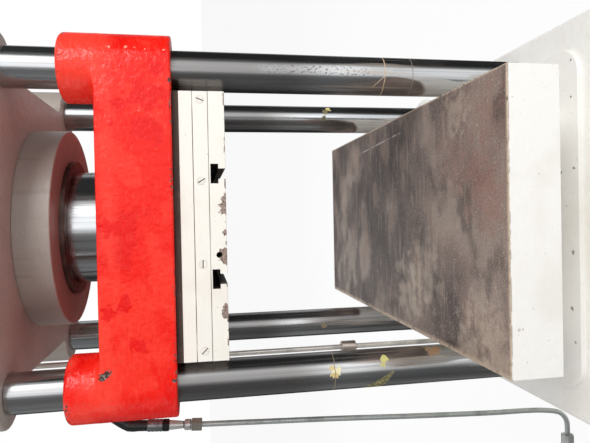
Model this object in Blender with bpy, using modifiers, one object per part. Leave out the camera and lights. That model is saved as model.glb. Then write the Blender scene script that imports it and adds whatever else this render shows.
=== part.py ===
"""A four-column, down-stroke hydraulic press.

Origin on the floor, midway between the four columns. +Z up, front towards -Y, metres.
The heights are stacked from the floor, so a changed size moves everything above it.
The crosshead, its plates, the ram and the piston hang on one empty, ram_slide, on the
press's centre line, and slide along Z: TRAVEL_DOWN and TRAVEL_UP are that slide's range.
"""

from math import cos, pi, radians, sin, tan

import bmesh
import bpy
from mathutils import Matrix, Vector

# General
CLEARANCE = 0.0003  # between pieces that touch or fit into each other
OVERRUN = 0.006  # how far a cutter reaches past the face that it cuts
WELD = 0.000001  # points this close are one point
SKIN = 0.0002  # how far the clip round a boss stands off the casting

# Columns
COLUMN_Y = 0.225  # half the spacing, front to back
COLUMN_R = 0.035
COLUMN_END_R = 0.024  # the turned-down, threaded ends
COLUMN_CHAMFER = 0.003
THREAD_PAST_NUT = 0.016
NUT_FLATS = 0.075  # across the flats
NUT_HEIGHT = 0.040
NUT_CHAMFER = 0.004

# Plan shared by the castings
BOSS_R = 0.059  # round boss about each column
WAIST_INSET = 0.002  # of the sides between the bosses, from the columns' axes
CASTING_EDGE_R = 0.004

# Base
BASE_HEIGHT = 0.659
BASE_PAST_COLUMN = 0.064  # of the straight front block's sides, from the columns' axes
BASE_FRONT = 0.480  # from the centre to the front face
BASE_CORNER_R = 0.030
BASE_TURN = 0.120  # where the straight sides turn in to the waist
DECK_EDGE_R = 0.006
PAD_PAST_COLUMN = 0.013  # of the pad's sides, from the columns' axes
PAD_FRONT = 0.4125
PAD_CORNER_R = 0.045
PAD_HEIGHT = 0.008
PAD_INSET = 0.012  # from the edge of the casting, behind the front block
PAD_COLUMN_GAP = 0.002
BASE_PLATE = 0.180  # thickness of the deck above the cored hollows
BASE_WALL = 0.045
WAIST_WALL = 0.036
BASE_WEB = 0.060  # middle web, front to back
CORE_CORNER_R = 0.020
NUT_POCKET_R = 0.047
SPOTFACE = 0.002

# Bed
RISER_INSET = 0.025  # from the table's sides
RISER_FRONT = 0.360
RISER_REAR = 0.262
RISER_HEIGHT = 0.0994
RISER_EDGE_R = 0.004
TABLE_WIDTH = 0.450
TABLE_COLUMN_GAP = 0.014  # at least this much between the table and the columns
TABLE_DEPTH = 1.008
TABLE_THICK = 0.083
TABLE_EDGE_R = 0.0015

# Platen plates under the crosshead
DAYLIGHT = 0.3834  # from the table up to the platen, at rest
PLATEN_WIDTH = 0.460
PLATEN_COLUMN_GAP = 0.009  # at least this much between the plates and the columns
PLATEN_DEPTH = 0.5416
TSLOT_PLATE = 0.0281
HEATING_PLATE = 0.0260
BACKING_PLATE = 0.0227
INSULATION = 0.0109
PLATE_EDGE = 0.0007
SLOT_X = 0.090  # half the distance between the two T-slots
SLOT_NECK = 0.0175
SLOT_NECK_DEPTH = 0.0121
SLOT_HEAD = 0.0335
SLOT_HEAD_DEPTH = 0.0132
PROBE_X = 0.049  # blind hole for a temperature probe, left of the middle
PROBE_R = 0.0055
PROBE_RISE = 0.0129  # above the plate's underside
PROBE_DEPTH = 0.120
PLUG_R = 0.007
PLUG_LENGTH = 0.012
PLUG_PROUD = 0.0005
PLUG_SLOT = 0.0018
PLUG_SLOT_DEPTH = 0.0016
PLUG_PLACE_SHARES = (-0.922, -0.278, 0.339, 0.939)  # of the platen's half width
CHANNEL_R = 0.0055  # the drilled channel behind each plug
CHANNEL_WALL = 0.050  # left at the plate's rear

# Crosshead
CROSSHEAD_HEIGHT = 0.1235
CROSSHEAD_BOSS = 0.0583  # how far the bosses stand above the body
BOSS_RIM_R = 0.009
BOSS_FLARE_R = 0.012
BOSS_SKIRT = 0.006
BUSH_WALL = 0.008
WIPER_WALL = 0.011
WIPER_SEAT = 0.009
WIPER_PROUD = 0.0015
RAM_SEAT = 0.020  # recess that centres the ram

# Ram and cylinder
RAM_R = 0.115
RAM_SHOWN = 0.0828  # between the crosshead and the gland, at rest
RAM_GROOVE = 0.007
RAM_GROOVE_WIDTH = 0.011
RAM_GROOVE_RISE = 0.005  # above the crosshead
CLAMP_RING_R = 0.152
CLAMP_RING_HEIGHT = 0.0176
CLAMP_RING_CHAMFER = 0.002
SPIGOT_R = 0.080
SPIGOT_LENGTH = 0.060
TRAVEL_DOWN = 0.340
TRAVEL_UP = 0.060
END_CLEAR = 0.010  # oil left at each end of the stroke
PISTON_HEIGHT = 0.090
PISTON_GAP = 0.0005
PISTON_GROOVE = 0.0075
PISTON_GROOVE_WIDTH = 0.034
BORE_R = 0.130
CYLINDER_R = 0.170
CYLINDER_HEAD = 0.060
CYLINDER_EDGE_R = 0.006
FLANGE_R = 0.200
FLANGE_THICK = 0.0628
FLANGE_EDGE_R = 0.003
GLAND_R = 0.138
GLAND_PROUD = 0.009
GLAND_SEAT = 0.020
GLAND_EDGE_R = 0.0015
GLAND_SPIGOT = 0.064
GLAND_LIP = 0.010
GLAND_BORE_GAP = 0.0006
GLAND_LINING = 0.0075
SEAL_HEIGHT = 0.024
CROWN_HEIGHT = 0.270
LOCK_RING_R = 0.205
LOCK_RING_HEIGHT = 0.045

# Hydraulic line
HOSE_R = 0.0115
FERRULE_R = 0.013
FERRULE_LENGTH = 0.032
FERRULE_EDGE = 0.0015
SWIVEL_FLATS = 0.024
SWIVEL_LENGTH = 0.013
COUPLING_TOP_R = 0.0105
COUPLING_LOW_R = 0.0075
COUPLING_LENGTH = 0.032
COLLAR_R = 0.0115
COLLAR_LENGTH = 0.015
COLLAR_EDGE = 0.003
PIPE_NUT_FLATS = 0.0245
PIPE_NUT_LENGTH = 0.0225
LINE_NUT_CHAMFER = 0.002
PIPE_R = 0.006
LINE_OUT = 0.1575  # hose end, outside the columns' axes
LINE_RISE = 0.549  # hose end, above the table
LINE_LEAN = radians(3.6)
PIPE_DROP = 0.896
PIPE_RUN = 0.104
PIPE_ROUTE_SHARES = (  # of the run to the left and of the drop
    (0.000, 0.000),
    (0.058, 0.149),
    (0.135, 0.344),
    (0.231, 0.548),
    (0.317, 0.763),
    (0.342, 0.872),
    (0.375, 0.930),
    (0.452, 0.975),
    (0.625, 0.996),
    (0.800, 1.000),
    (1.000, 1.000),
)
PIPE_POINTS = 28
UNION_FLATS = 0.027
UNION_LENGTH = 0.028
UNION_CHAMFER = 0.002
PORT_HOLE_R = 0.007
PORT_INSET = 0.110  # of the drilling that turns down into the cylinder, from the axis
PORT_FLATS = 0.030
PORT_LENGTH = 0.022
HOSE_POINTS = 34
HOSE_ROUTE_SHARES = (  # of the run to the left and of the drop, between its two ends
    (0.276, 0.006),
    (0.523, 0.061),
    (0.664, 0.158),
    (0.693, 0.289),
    (0.664, 0.447),
    (0.635, 0.605),
    (0.635, 0.749),
    (0.731, 0.854),
    (0.886, 0.909),
    (0.988, 0.949),
)

# Limit rod
ROD_OUT = 0.016  # from the castings' sides
ROD_R = 0.0055
ROD_LOW = 0.085  # lower end, below the deck
ROD_HIGH = 0.200  # upper end, above the crown's underside
ROD_END_CHAMFER = 0.001
ROD_SEAT = 0.018  # how deep the rod stands in its lower bracket
BRACKET_LENGTH = 0.030  # outwards, from the casting
BRACKET_HALF = 0.014
BRACKET_HEIGHT = 0.028
BRACKET_EDGE = 0.0015
COLLAR_STOP_R = 0.013
COLLAR_STOP_HEIGHT = 0.033
COLLAR_STOP_RISE = 0.081  # above the table
COLLAR_STOP_EDGE = 0.0015

# Facets
CYLINDER_STEPS = 32
COLUMN_STEPS = 20
BOSS_STEPS = 24
BLEND_STEPS = 5  # boss steps past the widest point, where the waist's fillet starts
FITTING_STEPS = 12

# Heights, stacked from the floor
pad_top = BASE_HEIGHT + PAD_HEIGHT
riser_low = pad_top + CLEARANCE
table_low = riser_low + RISER_HEIGHT + CLEARANCE
table_top = table_low + TABLE_THICK
platen_low = table_top + DAYLIGHT
heating_low = platen_low + TSLOT_PLATE
backing_low = heating_low + HEATING_PLATE
board_low = backing_low + BACKING_PLATE
crosshead_low = board_low + INSULATION
crosshead_top = crosshead_low + CROSSHEAD_HEIGHT
boss_top = crosshead_top + CROSSHEAD_BOSS
gland_low = crosshead_top + RAM_SHOWN
flange_low = gland_low + GLAND_PROUD
crown_low = flange_low + FLANGE_THICK + CLEARANCE
crown_top = crown_low + CROWN_HEIGHT
gland_shoulder = flange_low + GLAND_SEAT
gland_top = gland_shoulder + GLAND_SPIGOT
piston_low = gland_top + TRAVEL_DOWN + END_CLEAR
piston_top = piston_low + PISTON_HEIGHT
chamber_top = piston_top + TRAVEL_UP + END_CLEAR
cylinder_top = chamber_top + CYLINDER_HEAD
column_low = BASE_HEIGHT + CLEARANCE
column_high = crown_low - CLEARANCE
base_plate_low = BASE_HEIGHT - BASE_PLATE
nut_seat = base_plate_low + SPOTFACE
lower_end = nut_seat - CLEARANCE - NUT_HEIGHT - THREAD_PAST_NUT
upper_end = crown_top + CLEARANCE + NUT_HEIGHT + THREAD_PAST_NUT
port_height = chamber_top + CYLINDER_HEAD / 2
line_height = table_top + LINE_RISE

# Plan, worked out from the columns
column_x = COLUMN_R + max(
    TABLE_WIDTH / 2 + TABLE_COLUMN_GAP, PLATEN_WIDTH / 2 + PLATEN_COLUMN_GAP
)
waist_half = column_x - WAIST_INSET
base_half = column_x + BASE_PAST_COLUMN
pad_half = column_x + PAD_PAST_COLUMN
riser_half = TABLE_WIDTH / 2 - RISER_INSET
rod_x = waist_half + ROD_OUT
line_x = column_x + LINE_OUT

CORNERS = {
    "front_left": (-1, -1),
    "front_right": (1, -1),
    "rear_left": (-1, 1),
    "rear_right": (1, 1),
}

# colour, roughness, metallic
FINISHES = {
    "white_paint": ((0.86, 0.84, 0.80), 0.45, 0.0),
    "ivory_paint": ((0.84, 0.81, 0.74), 0.50, 0.0),
    "red_paint": ((0.86, 0.05, 0.02), 0.40, 0.0),
    "worn_steel": ((0.19, 0.16, 0.14), 0.45, 0.9),
    "bright_steel": ((0.62, 0.62, 0.61), 0.18, 1.0),
    "machined": ((0.42, 0.40, 0.38), 0.35, 1.0),
    "zinc": ((0.50, 0.50, 0.48), 0.38, 0.9),
    "black_steel": ((0.05, 0.05, 0.05), 0.45, 0.6),
    "bronze": ((0.55, 0.35, 0.14), 0.35, 1.0),
    "seal": ((0.02, 0.02, 0.02), 0.60, 0.0),
    "hose_rubber": ((0.015, 0.015, 0.015), 0.55, 0.0),
    "board": ((0.24, 0.20, 0.17), 0.80, 0.0),
}


# Objects and materials
for leftover in list(bpy.data.objects):
    bpy.data.objects.remove(leftover, do_unlink=True)

press = bpy.data.collections.new("hydraulic_press")
cutters = bpy.data.collections.new("cutters")
bpy.context.scene.collection.children.link(press)
bpy.context.scene.collection.children.link(cutters)


def finish(name, look):
    """A Principled material of this piece's own."""
    colour, roughness, metallic = FINISHES[look]
    material = bpy.data.materials.new(name)
    material.use_nodes = True
    shader = material.node_tree.nodes["Principled BSDF"]
    shader.inputs["Base Color"].default_value = (*colour, 1.0)
    shader.inputs["Roughness"].default_value = roughness
    shader.inputs["Metallic"].default_value = metallic
    material.diffuse_color = (*colour, 1.0)
    return material


def add(name, data, look, location=(0, 0, 0), parent=None):
    """Puts data in the scene as a piece of the press or, with no look, as a hidden cutter."""
    obj = bpy.data.objects.new(name, data)
    if look is None:
        cutters.objects.link(obj)
        obj.hide_render = True
        obj.display_type = "WIRE"
    else:
        press.objects.link(obj)
        if not data.materials:
            data.materials.append(finish(name, look))
    obj.location = location
    if parent is not None:
        obj.parent = parent
        obj.location = Vector(location) - parent.location
    return obj


def mesh_of(name, bm):
    bmesh.ops.recalc_face_normals(bm, faces=bm.faces)
    mesh = bpy.data.meshes.new(name)
    bm.to_mesh(mesh)
    bm.free()
    return mesh


# Shapes
def rounded(corners, closed=True, arc_step=radians(30)):
    """The corners' outline, each (x, y, radius) rounded by an arc and each (x, y) left sharp."""
    points = []
    for place, corner in enumerate(corners):
        at = Vector(corner[:2])
        end = not closed and place in (0, len(corners) - 1)
        if len(corner) < 3 or end:
            points.append(at)
            continue
        back = (Vector(corners[place - 1][:2]) - at).normalized()
        ahead = (Vector(corners[(place + 1) % len(corners)][:2]) - at).normalized()
        half = back.angle(ahead) / 2
        centre = at + (back + ahead).normalized() * corner[2] / sin(half)
        start = at + back * corner[2] / tan(half) - centre
        turn = (pi - 2 * half) * (1 if back.cross(ahead) < 0 else -1)
        count = max(1, round(abs(turn) / arc_step))
        for step in range(count + 1):
            points.append(centre + Matrix.Rotation(turn * step / count, 2) @ start)
    apart = [points[0]]
    for point in points[1:]:
        if (point - apart[-1]).length > WELD:
            apart.append(point)
    return [tuple(point) for point in apart]


def prism(name, outline, thickness, look=None, location=(0, 0, 0), parent=None):
    """A flat outline given this thickness, half of it on each side of its own plane."""
    curve = bpy.data.curves.new(name, "CURVE")
    curve.dimensions = "2D"
    curve.fill_mode = "BOTH"
    curve.extrude = thickness / 2
    spline = curve.splines.new("POLY")
    spline.points.add(len(outline) - 1)
    for point, (x, y) in zip(spline.points, outline):
        point.co = (x, y, 0, 1)
    spline.use_cyclic_u = True
    flat = bpy.data.objects.new(name, curve)
    cutters.objects.link(flat)
    graph = bpy.context.evaluated_depsgraph_get()
    made = bpy.data.meshes.new_from_object(flat.evaluated_get(graph))
    bpy.data.objects.remove(flat, do_unlink=True)
    bm = bmesh.new()
    bm.from_mesh(made)
    bmesh.ops.remove_doubles(bm, verts=bm.verts, dist=WELD)
    bmesh.ops.dissolve_limit(bm, angle_limit=radians(0.5), verts=bm.verts, edges=bm.edges)
    return add(name, mesh_of(name, bm), look, location, parent)


def turned(name, profile, steps, look=None, location=(0, 0, 0), parent=None):
    """A profile (radius, height), down its outer side, turned about Z."""
    mesh = bpy.data.meshes.new(name)
    count = len(profile)
    edges = [(i, i + 1) for i in range(count - 1)]
    if min(radius for radius, _ in profile) > 0:
        edges.append((count - 1, 0))
    mesh.from_pydata([(radius, 0, height) for radius, height in profile], edges, [])
    obj = add(name, mesh, look, location, parent)
    return spin(obj, steps)


def spin(obj, steps):
    screw = obj.modifiers.new("Turned", "SCREW")
    screw.steps = screw.render_steps = steps
    screw.use_merge_vertices = True
    screw.merge_threshold = WELD
    return obj


def ring(inner, outer, low, high):
    return [(outer, high), (outer, low), (inner, low), (inner, high)]


def bar(name, radius, length, steps, look=None, location=(0, 0, 0), parent=None):
    """A plain cylinder along Z, its lower face at the location."""
    bm = bmesh.new()
    bmesh.ops.create_cone(
        bm,
        cap_ends=True,
        segments=steps,
        radius1=radius,
        radius2=radius,
        depth=length,
        matrix=Matrix.Translation((0, 0, length / 2)),
    )
    return add(name, mesh_of(name, bm), look, location, parent)


def box(name, size, look=None, location=(0, 0, 0), parent=None, edge=0):
    """A block, its lower face's middle at the location."""
    bm = bmesh.new()
    bmesh.ops.create_cube(bm, size=1)
    bmesh.ops.scale(bm, vec=size, verts=bm.verts)
    bmesh.ops.translate(bm, vec=(0, 0, size[2] / 2), verts=bm.verts)
    obj = add(name, mesh_of(name, bm), look, location, parent)
    if edge:
        bevel = obj.modifiers.new("Edges", "BEVEL")
        bevel.width = edge
        bevel.segments = 1
    return obj


def round_edges(obj, radius, top=True, bottom=False, segments=2):
    """Rounds the outline's edges at a prism's two ends."""
    mesh = obj.data
    ends = [vertex.co.z for vertex in mesh.vertices]
    levels = [max(ends)] * top + [min(ends)] * bottom
    weight = mesh.attributes.new("bevel_weight_edge", "FLOAT", "EDGE")
    for edge in mesh.edges:
        heights = [mesh.vertices[vertex].co.z for vertex in edge.vertices]
        for level in levels:
            if max(abs(height - level) for height in heights) < WELD:
                weight.data[edge.index].value = 1
    bevel = obj.modifiers.new("Rounded edge", "BEVEL")
    bevel.limit_method = "WEIGHT"
    bevel.width = radius
    bevel.segments = segments


def shape(obj, operation, *others):
    """Cuts (DIFFERENCE), joins (UNION) or keeps only what is common (INTERSECT)."""
    for other in others:
        boolean = obj.modifiers.new(other.name, "BOOLEAN")
        boolean.operation = operation
        boolean.solver = "EXACT"
        boolean.object = other


def hexagon(name, flats, height, chamfer, look, bore=0, bore_steps=COLUMN_STEPS):
    """A nut's mesh: six flats, the corners chamfered by a cone at both ends."""
    corner = flats / 2 / cos(pi / 6)
    bm = bmesh.new()
    bmesh.ops.create_cone(
        bm,
        cap_ends=True,
        segments=6,
        radius1=corner,
        radius2=corner,
        depth=height,
        matrix=Matrix.Translation((0, 0, height / 2)),
    )
    nut = add(name, mesh_of(name, bm), look)
    cone = turned(
        name + "_chamfer",
        [
            (0, height),
            (corner - chamfer, height),
            (corner + chamfer, height - chamfer),
            (corner + chamfer, chamfer),
            (corner - chamfer, 0),
            (0, 0),
        ],
        FITTING_STEPS,
    )
    shape(nut, "INTERSECT", cone)
    if bore:
        hole = bar(name + "_bore", bore, height + 2 * OVERRUN, bore_steps)
        hole.location.z = -OVERRUN
        hole.parent = cone.parent = nut
        shape(nut, "DIFFERENCE", hole)
    cone.parent = nut
    return nut


def smooth_route(points, count):
    """This many points, evenly apart, on a smooth curve through the given ones."""
    knots = [Vector(point) for point in points]
    ends = [2 * knots[0] - knots[1]] + knots + [2 * knots[-1] - knots[-2]]
    fine = []
    for a, b, c, d in zip(ends, ends[1:], ends[2:], ends[3:]):
        for step in range(count):
            t = step / count
            fine.append(
                (
                    2 * b
                    + (c - a) * t
                    + (2 * a - 5 * b + 4 * c - d) * t**2
                    + (3 * b - a - 3 * c + d) * t**3
                )
                / 2
            )
    fine.append(knots[-1])
    along = [0.0]
    for a, b in zip(fine, fine[1:]):
        along.append(along[-1] + (b - a).length)
    route, place = [], 0
    for step in range(count):
        want = along[-1] * step / (count - 1)
        while place < len(fine) - 2 and along[place + 1] < want:
            place += 1
        share = (want - along[place]) / (along[place + 1] - along[place])
        route.append(fine[place].lerp(fine[place + 1], share))
    return route


def tube(name, route, radius, look):
    """A round tube along the route, with closed ends."""
    curve = bpy.data.curves.new(name, "CURVE")
    curve.dimensions = "3D"
    curve.bevel_depth = radius
    curve.bevel_resolution = 2
    curve.use_fill_caps = True
    spline = curve.splines.new("POLY")
    spline.points.add(len(route) - 1)
    for point, place in zip(spline.points, route):
        point.co = (*place, 1)
    return add(name, curve, look)


# Plan outlines of the castings
def mirrored_x(points):
    return [(-x, y) for x, y in reversed(points)]


def mirrored_y(points):
    return [(x, -y) for x, y in reversed(points)]


def boss_corner(inset=0):
    """A front right boss from its front round to the waist, with a fillet where they meet."""
    step = 2 * pi / BOSS_STEPS
    turn = BLEND_STEPS * step
    fillet = (column_x - waist_half + BOSS_R * cos(turn)) / (1 - cos(turn))
    points = []
    for count in range(-BOSS_STEPS // 4, BLEND_STEPS + 1):
        across = (BOSS_R - inset) * cos(count * step)
        along = (BOSS_R - inset) * sin(count * step)
        points.append((column_x + across, along - COLUMN_Y))
    middle_x = column_x + (BOSS_R + fillet) * cos(turn)
    middle_y = (BOSS_R + fillet) * sin(turn) - COLUMN_Y
    arcs = BLEND_STEPS // 2 + 1
    for count in range(1, arcs + 1):
        angle = pi + turn * (1 - count / arcs)
        across = (fillet + inset) * cos(angle)
        along = (fillet + inset) * sin(angle)
        points.append((middle_x + across, middle_y + along))
    return points


def casting_outline(inset=0):
    """Bosses at the four columns, tangent to the front and the rear, and a waist each side."""
    corner = boss_corner(inset)
    right = corner + mirrored_y(corner)
    return right + mirrored_x(right)


def base_outline(half, front, corner, inset=0):
    """A straight block in front, then the same waist and rear bosses as the other castings."""
    waist, turn = waist_half - inset, -BASE_TURN - inset
    fillet_share = 0.48
    fillet = fillet_share * (half - waist)
    side = rounded(
        [
            (0, -front),
            (half, -front, corner),
            (half, turn, fillet),
            (waist, turn, fillet),
            (waist, 0),
        ],
        closed=False,
        arc_step=radians(22.5),
    )[1:-1]
    right = side + mirrored_y(boss_corner(inset))
    return right + mirrored_x(right)


def over_columns(obj):
    """The same cutter at each of the four columns."""
    copies = []
    for corner, (side, rear) in CORNERS.items():
        copy = obj if not copies else obj.copy()
        if copies:
            cutters.objects.link(copy)
        copy.name = f"{obj.data.name}_{corner}"
        copy.location.x = side * column_x
        copy.location.y = rear * COLUMN_Y
        copies.append(copy)
    return copies


# Base
base = prism(
    "base_casting",
    base_outline(base_half, BASE_FRONT, BASE_CORNER_R),
    BASE_HEIGHT,
    "white_paint",
    (0, 0, BASE_HEIGHT / 2),
)
round_edges(base, DECK_EDGE_R)
pad = prism(
    "pad",
    base_outline(pad_half, PAD_FRONT, PAD_CORNER_R, PAD_INSET),
    PAD_HEIGHT + OVERRUN,
    location=(0, 0, BASE_HEIGHT + (PAD_HEIGHT - OVERRUN) / 2),
)
pad_holes = over_columns(
    bar(
        "pad_hole",
        COLUMN_R + PAD_COLUMN_GAP,
        PAD_HEIGHT + 3 * OVERRUN,
        COLUMN_STEPS,
        location=(0, 0, BASE_HEIGHT - 2 * OVERRUN),
    )
)
shape(pad, "DIFFERENCE", *pad_holes)
shape(base, "UNION", pad)

core_x = BASE_WEB / 2
core_front = BASE_FRONT - BASE_WALL
core_rear = COLUMN_Y + BOSS_R - BASE_WALL
core_wide = base_half - BASE_WALL
core_slim = waist_half - WAIST_WALL
core_turn = BASE_TURN + BASE_WALL
core_outline = rounded(
    [
        (core_x, -core_front, CORE_CORNER_R),
        (core_wide, -core_front, CORE_CORNER_R),
        (core_wide, -core_turn, CORE_CORNER_R),
        (core_slim, -core_turn, CORE_CORNER_R),
        (core_slim, core_rear, CORE_CORNER_R),
        (core_x, core_rear, CORE_CORNER_R),
    ]
)
for side, outline in (("right", core_outline), ("left", mirrored_x(core_outline))):
    core = prism(
        "core_" + side,
        outline,
        base_plate_low + OVERRUN,
        location=(0, 0, (base_plate_low - OVERRUN) / 2),
    )
    shape(base, "DIFFERENCE", core)
nut_pockets = over_columns(
    bar("nut_pocket", NUT_POCKET_R, nut_seat + OVERRUN, FITTING_STEPS, location=(0, 0, -OVERRUN))
)
base_bores = over_columns(
    bar(
        "base_bore",
        COLUMN_END_R + CLEARANCE,
        BASE_HEIGHT - nut_seat + 2 * OVERRUN,
        COLUMN_STEPS,
        location=(0, 0, nut_seat - OVERRUN),
    )
)
shape(base, "DIFFERENCE", *nut_pockets, *base_bores)

# Bed
box(
    "bed_riser",
    (2 * riser_half, RISER_FRONT + RISER_REAR, RISER_HEIGHT),
    "white_paint",
    (0, (RISER_REAR - RISER_FRONT) / 2, riser_low),
    edge=RISER_EDGE_R,
)
box(
    "bed_table",
    (TABLE_WIDTH, TABLE_DEPTH, TABLE_THICK),
    "worn_steel",
    (0, 0, table_low),
    edge=TABLE_EDGE_R,
)

# Columns and their nuts
column_profile = [
    (0, upper_end - column_low),
    (COLUMN_END_R - COLUMN_CHAMFER, upper_end - column_low),
    (COLUMN_END_R, upper_end - column_low - COLUMN_CHAMFER),
    (COLUMN_END_R, column_high - column_low),
    (COLUMN_R, column_high - column_low),
    (COLUMN_R, 0),
    (COLUMN_END_R, 0),
    (COLUMN_END_R, lower_end - column_low + COLUMN_CHAMFER),
    (COLUMN_END_R - COLUMN_CHAMFER, lower_end - column_low),
    (0, lower_end - column_low),
]
for corner, (side, rear) in CORNERS.items():
    here = (side * column_x, rear * COLUMN_Y)
    turned("column_" + corner, column_profile, COLUMN_STEPS, "bright_steel", (*here, column_low))
    for end, level in (
        ("lower", nut_seat - CLEARANCE - NUT_HEIGHT),
        ("upper", crown_top + CLEARANCE),
    ):
        nut = hexagon(
            f"{end}_nut_{corner}",
            NUT_FLATS,
            NUT_HEIGHT,
            NUT_CHAMFER,
            "black_steel",
            bore=COLUMN_END_R + CLEARANCE,
        )
        nut.location = (*here, level)

# Crown and cylinder
crown = prism(
    "crown",
    casting_outline(),
    CROWN_HEIGHT,
    "ivory_paint",
    (0, 0, crown_low + CROWN_HEIGHT / 2),
)
round_edges(crown, CASTING_EDGE_R, bottom=True, segments=1)
crown_bores = over_columns(
    bar(
        "crown_bore",
        COLUMN_END_R + CLEARANCE,
        CROWN_HEIGHT + 2 * OVERRUN,
        COLUMN_STEPS,
        location=(0, 0, crown_low - OVERRUN),
    )
)
barrel_bore = bar(
    "barrel_bore",
    CYLINDER_R + CLEARANCE,
    CROWN_HEIGHT + 2 * OVERRUN,
    CYLINDER_STEPS,
    location=(0, 0, crown_low - OVERRUN),
)
shape(crown, "DIFFERENCE", *crown_bores, barrel_bore)

barrel = turned(
    "cylinder_barrel",
    rounded(
        [
            (0, cylinder_top - flange_low),
            (CYLINDER_R, cylinder_top - flange_low, CYLINDER_EDGE_R),
            (CYLINDER_R, FLANGE_THICK),
            (FLANGE_R, FLANGE_THICK),
            (FLANGE_R, 0, FLANGE_EDGE_R),
            (GLAND_R + CLEARANCE, 0),
            (GLAND_R + CLEARANCE, GLAND_SEAT + CLEARANCE),
            (BORE_R, GLAND_SEAT + CLEARANCE),
            (BORE_R, chamber_top - flange_low),
            (0, chamber_top - flange_low),
        ],
        closed=False,
        arc_step=radians(45),
    ),
    CYLINDER_STEPS,
    "ivory_paint",
    (0, 0, flange_low),
)
port_across = bar("port_across", PORT_HOLE_R, CYLINDER_R - PORT_INSET + 2 * OVERRUN, 12)
port_across.rotation_euler.y = -pi / 2
port_across.location = (OVERRUN - PORT_INSET, 0, port_height)
port_down = bar(
    "port_down",
    PORT_HOLE_R,
    CYLINDER_HEAD / 2 + 2 * OVERRUN,
    12,
    location=(-PORT_INSET, 0, chamber_top - OVERRUN),
)
shape(barrel, "DIFFERENCE", port_across, port_down)
turned(
    "cylinder_lock_ring",
    rounded(
        [
            (LOCK_RING_R, LOCK_RING_HEIGHT, CLAMP_RING_CHAMFER),
            (LOCK_RING_R, 0),
            (CYLINDER_R + CLEARANCE, 0),
            (CYLINDER_R + CLEARANCE, LOCK_RING_HEIGHT),
        ],
        arc_step=radians(90),
    ),
    CYLINDER_STEPS,
    "machined",
    (0, 0, crown_top + CLEARANCE),
)

gland_bore = RAM_R + GLAND_BORE_GAP
lining_r = RAM_R + GLAND_LINING
turned(
    "gland_housing",
    rounded(
        [
            (BORE_R - CLEARANCE, gland_top - gland_low),
            (BORE_R - CLEARANCE, gland_shoulder - gland_low),
            (GLAND_R, gland_shoulder - gland_low),
            (GLAND_R, 0, GLAND_EDGE_R),
            (gland_bore, 0, GLAND_EDGE_R),
            (gland_bore, GLAND_LIP),
            (lining_r, GLAND_LIP),
            (lining_r, gland_top - gland_low),
        ],
        arc_step=radians(90),
    ),
    CYLINDER_STEPS,
    "machined",
    (0, 0, gland_low),
)
turned(
    "rod_seal",
    ring(RAM_R + CLEARANCE, lining_r - CLEARANCE, 0, SEAL_HEIGHT),
    CYLINDER_STEPS,
    "seal",
    (0, 0, gland_low + GLAND_LIP + CLEARANCE),
)
lining_low = gland_low + GLAND_LIP + SEAL_HEIGHT + 2 * CLEARANCE
turned(
    "ram_guide_bush",
    ring(RAM_R + CLEARANCE, lining_r - CLEARANCE, 0, gland_top - lining_low),
    CYLINDER_STEPS,
    "bronze",
    (0, 0, lining_low),
)

# What slides
slide = bpy.data.objects.new("ram_slide", None)
press.objects.link(slide)
slide.location = (0, 0, crosshead_low)

crosshead = prism(
    "crosshead",
    casting_outline(),
    CROSSHEAD_HEIGHT,
    "red_paint",
    (0, 0, crosshead_low + CROSSHEAD_HEIGHT / 2),
    slide,
)
round_edges(crosshead, CASTING_EDGE_R, bottom=True, segments=1)
boss_clip = prism(
    "boss_clip",
    casting_outline(-SKIN),
    CROSSHEAD_HEIGHT + CROSSHEAD_BOSS,
    location=(0, 0, crosshead_top),
    parent=slide,
)
bosses = over_columns(
    turned(
        "boss",
        rounded(
            [
                (0, CROSSHEAD_BOSS),
                (BOSS_R, CROSSHEAD_BOSS, BOSS_RIM_R),
                (BOSS_R, 0, BOSS_FLARE_R),
                (BOSS_R + BOSS_FLARE_R, 0),
                (BOSS_R + BOSS_FLARE_R, -BOSS_SKIRT),
                (0, -BOSS_SKIRT),
            ],
            closed=False,
            arc_step=radians(45),
        ),
        BOSS_STEPS,
        location=(0, 0, crosshead_top),
    )
)
for boss in bosses:
    shape(boss, "INTERSECT", boss_clip)
shape(crosshead, "UNION", *bosses)
bush_r = COLUMN_R + BUSH_WALL
wiper_r = COLUMN_R + WIPER_WALL
wiper_low = boss_top - WIPER_SEAT
guide_bores = over_columns(
    turned(
        "guide_bore",
        [
            (0, boss_top + OVERRUN - crosshead_low),
            (wiper_r + CLEARANCE, boss_top + OVERRUN - crosshead_low),
            (wiper_r + CLEARANCE, wiper_low - crosshead_low),
            (bush_r + CLEARANCE, wiper_low - crosshead_low),
            (bush_r + CLEARANCE, -OVERRUN),
            (0, -OVERRUN),
        ],
        COLUMN_STEPS,
        location=(0, 0, crosshead_low),
    )
)
ram_recess = bar(
    "ram_recess",
    RAM_R + CLEARANCE,
    RAM_SEAT + OVERRUN,
    CYLINDER_STEPS,
    location=(0, 0, crosshead_top - RAM_SEAT),
)
shape(crosshead, "DIFFERENCE", *guide_bores, ram_recess)

for corner, (side, rear) in CORNERS.items():
    here = (side * column_x, rear * COLUMN_Y)
    turned(
        "guide_bush_" + corner,
        ring(COLUMN_R + CLEARANCE, bush_r, 0, wiper_low - crosshead_low - CLEARANCE),
        COLUMN_STEPS,
        "bronze",
        (*here, crosshead_low),
        slide,
    )
    wiper_height = WIPER_SEAT + WIPER_PROUD - CLEARANCE
    turned(
        "column_wiper_" + corner,
        ring(COLUMN_R + CLEARANCE, wiper_r, 0, wiper_height),
        COLUMN_STEPS,
        "seal",
        (*here, wiper_low + CLEARANCE),
        slide,
    )

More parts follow.
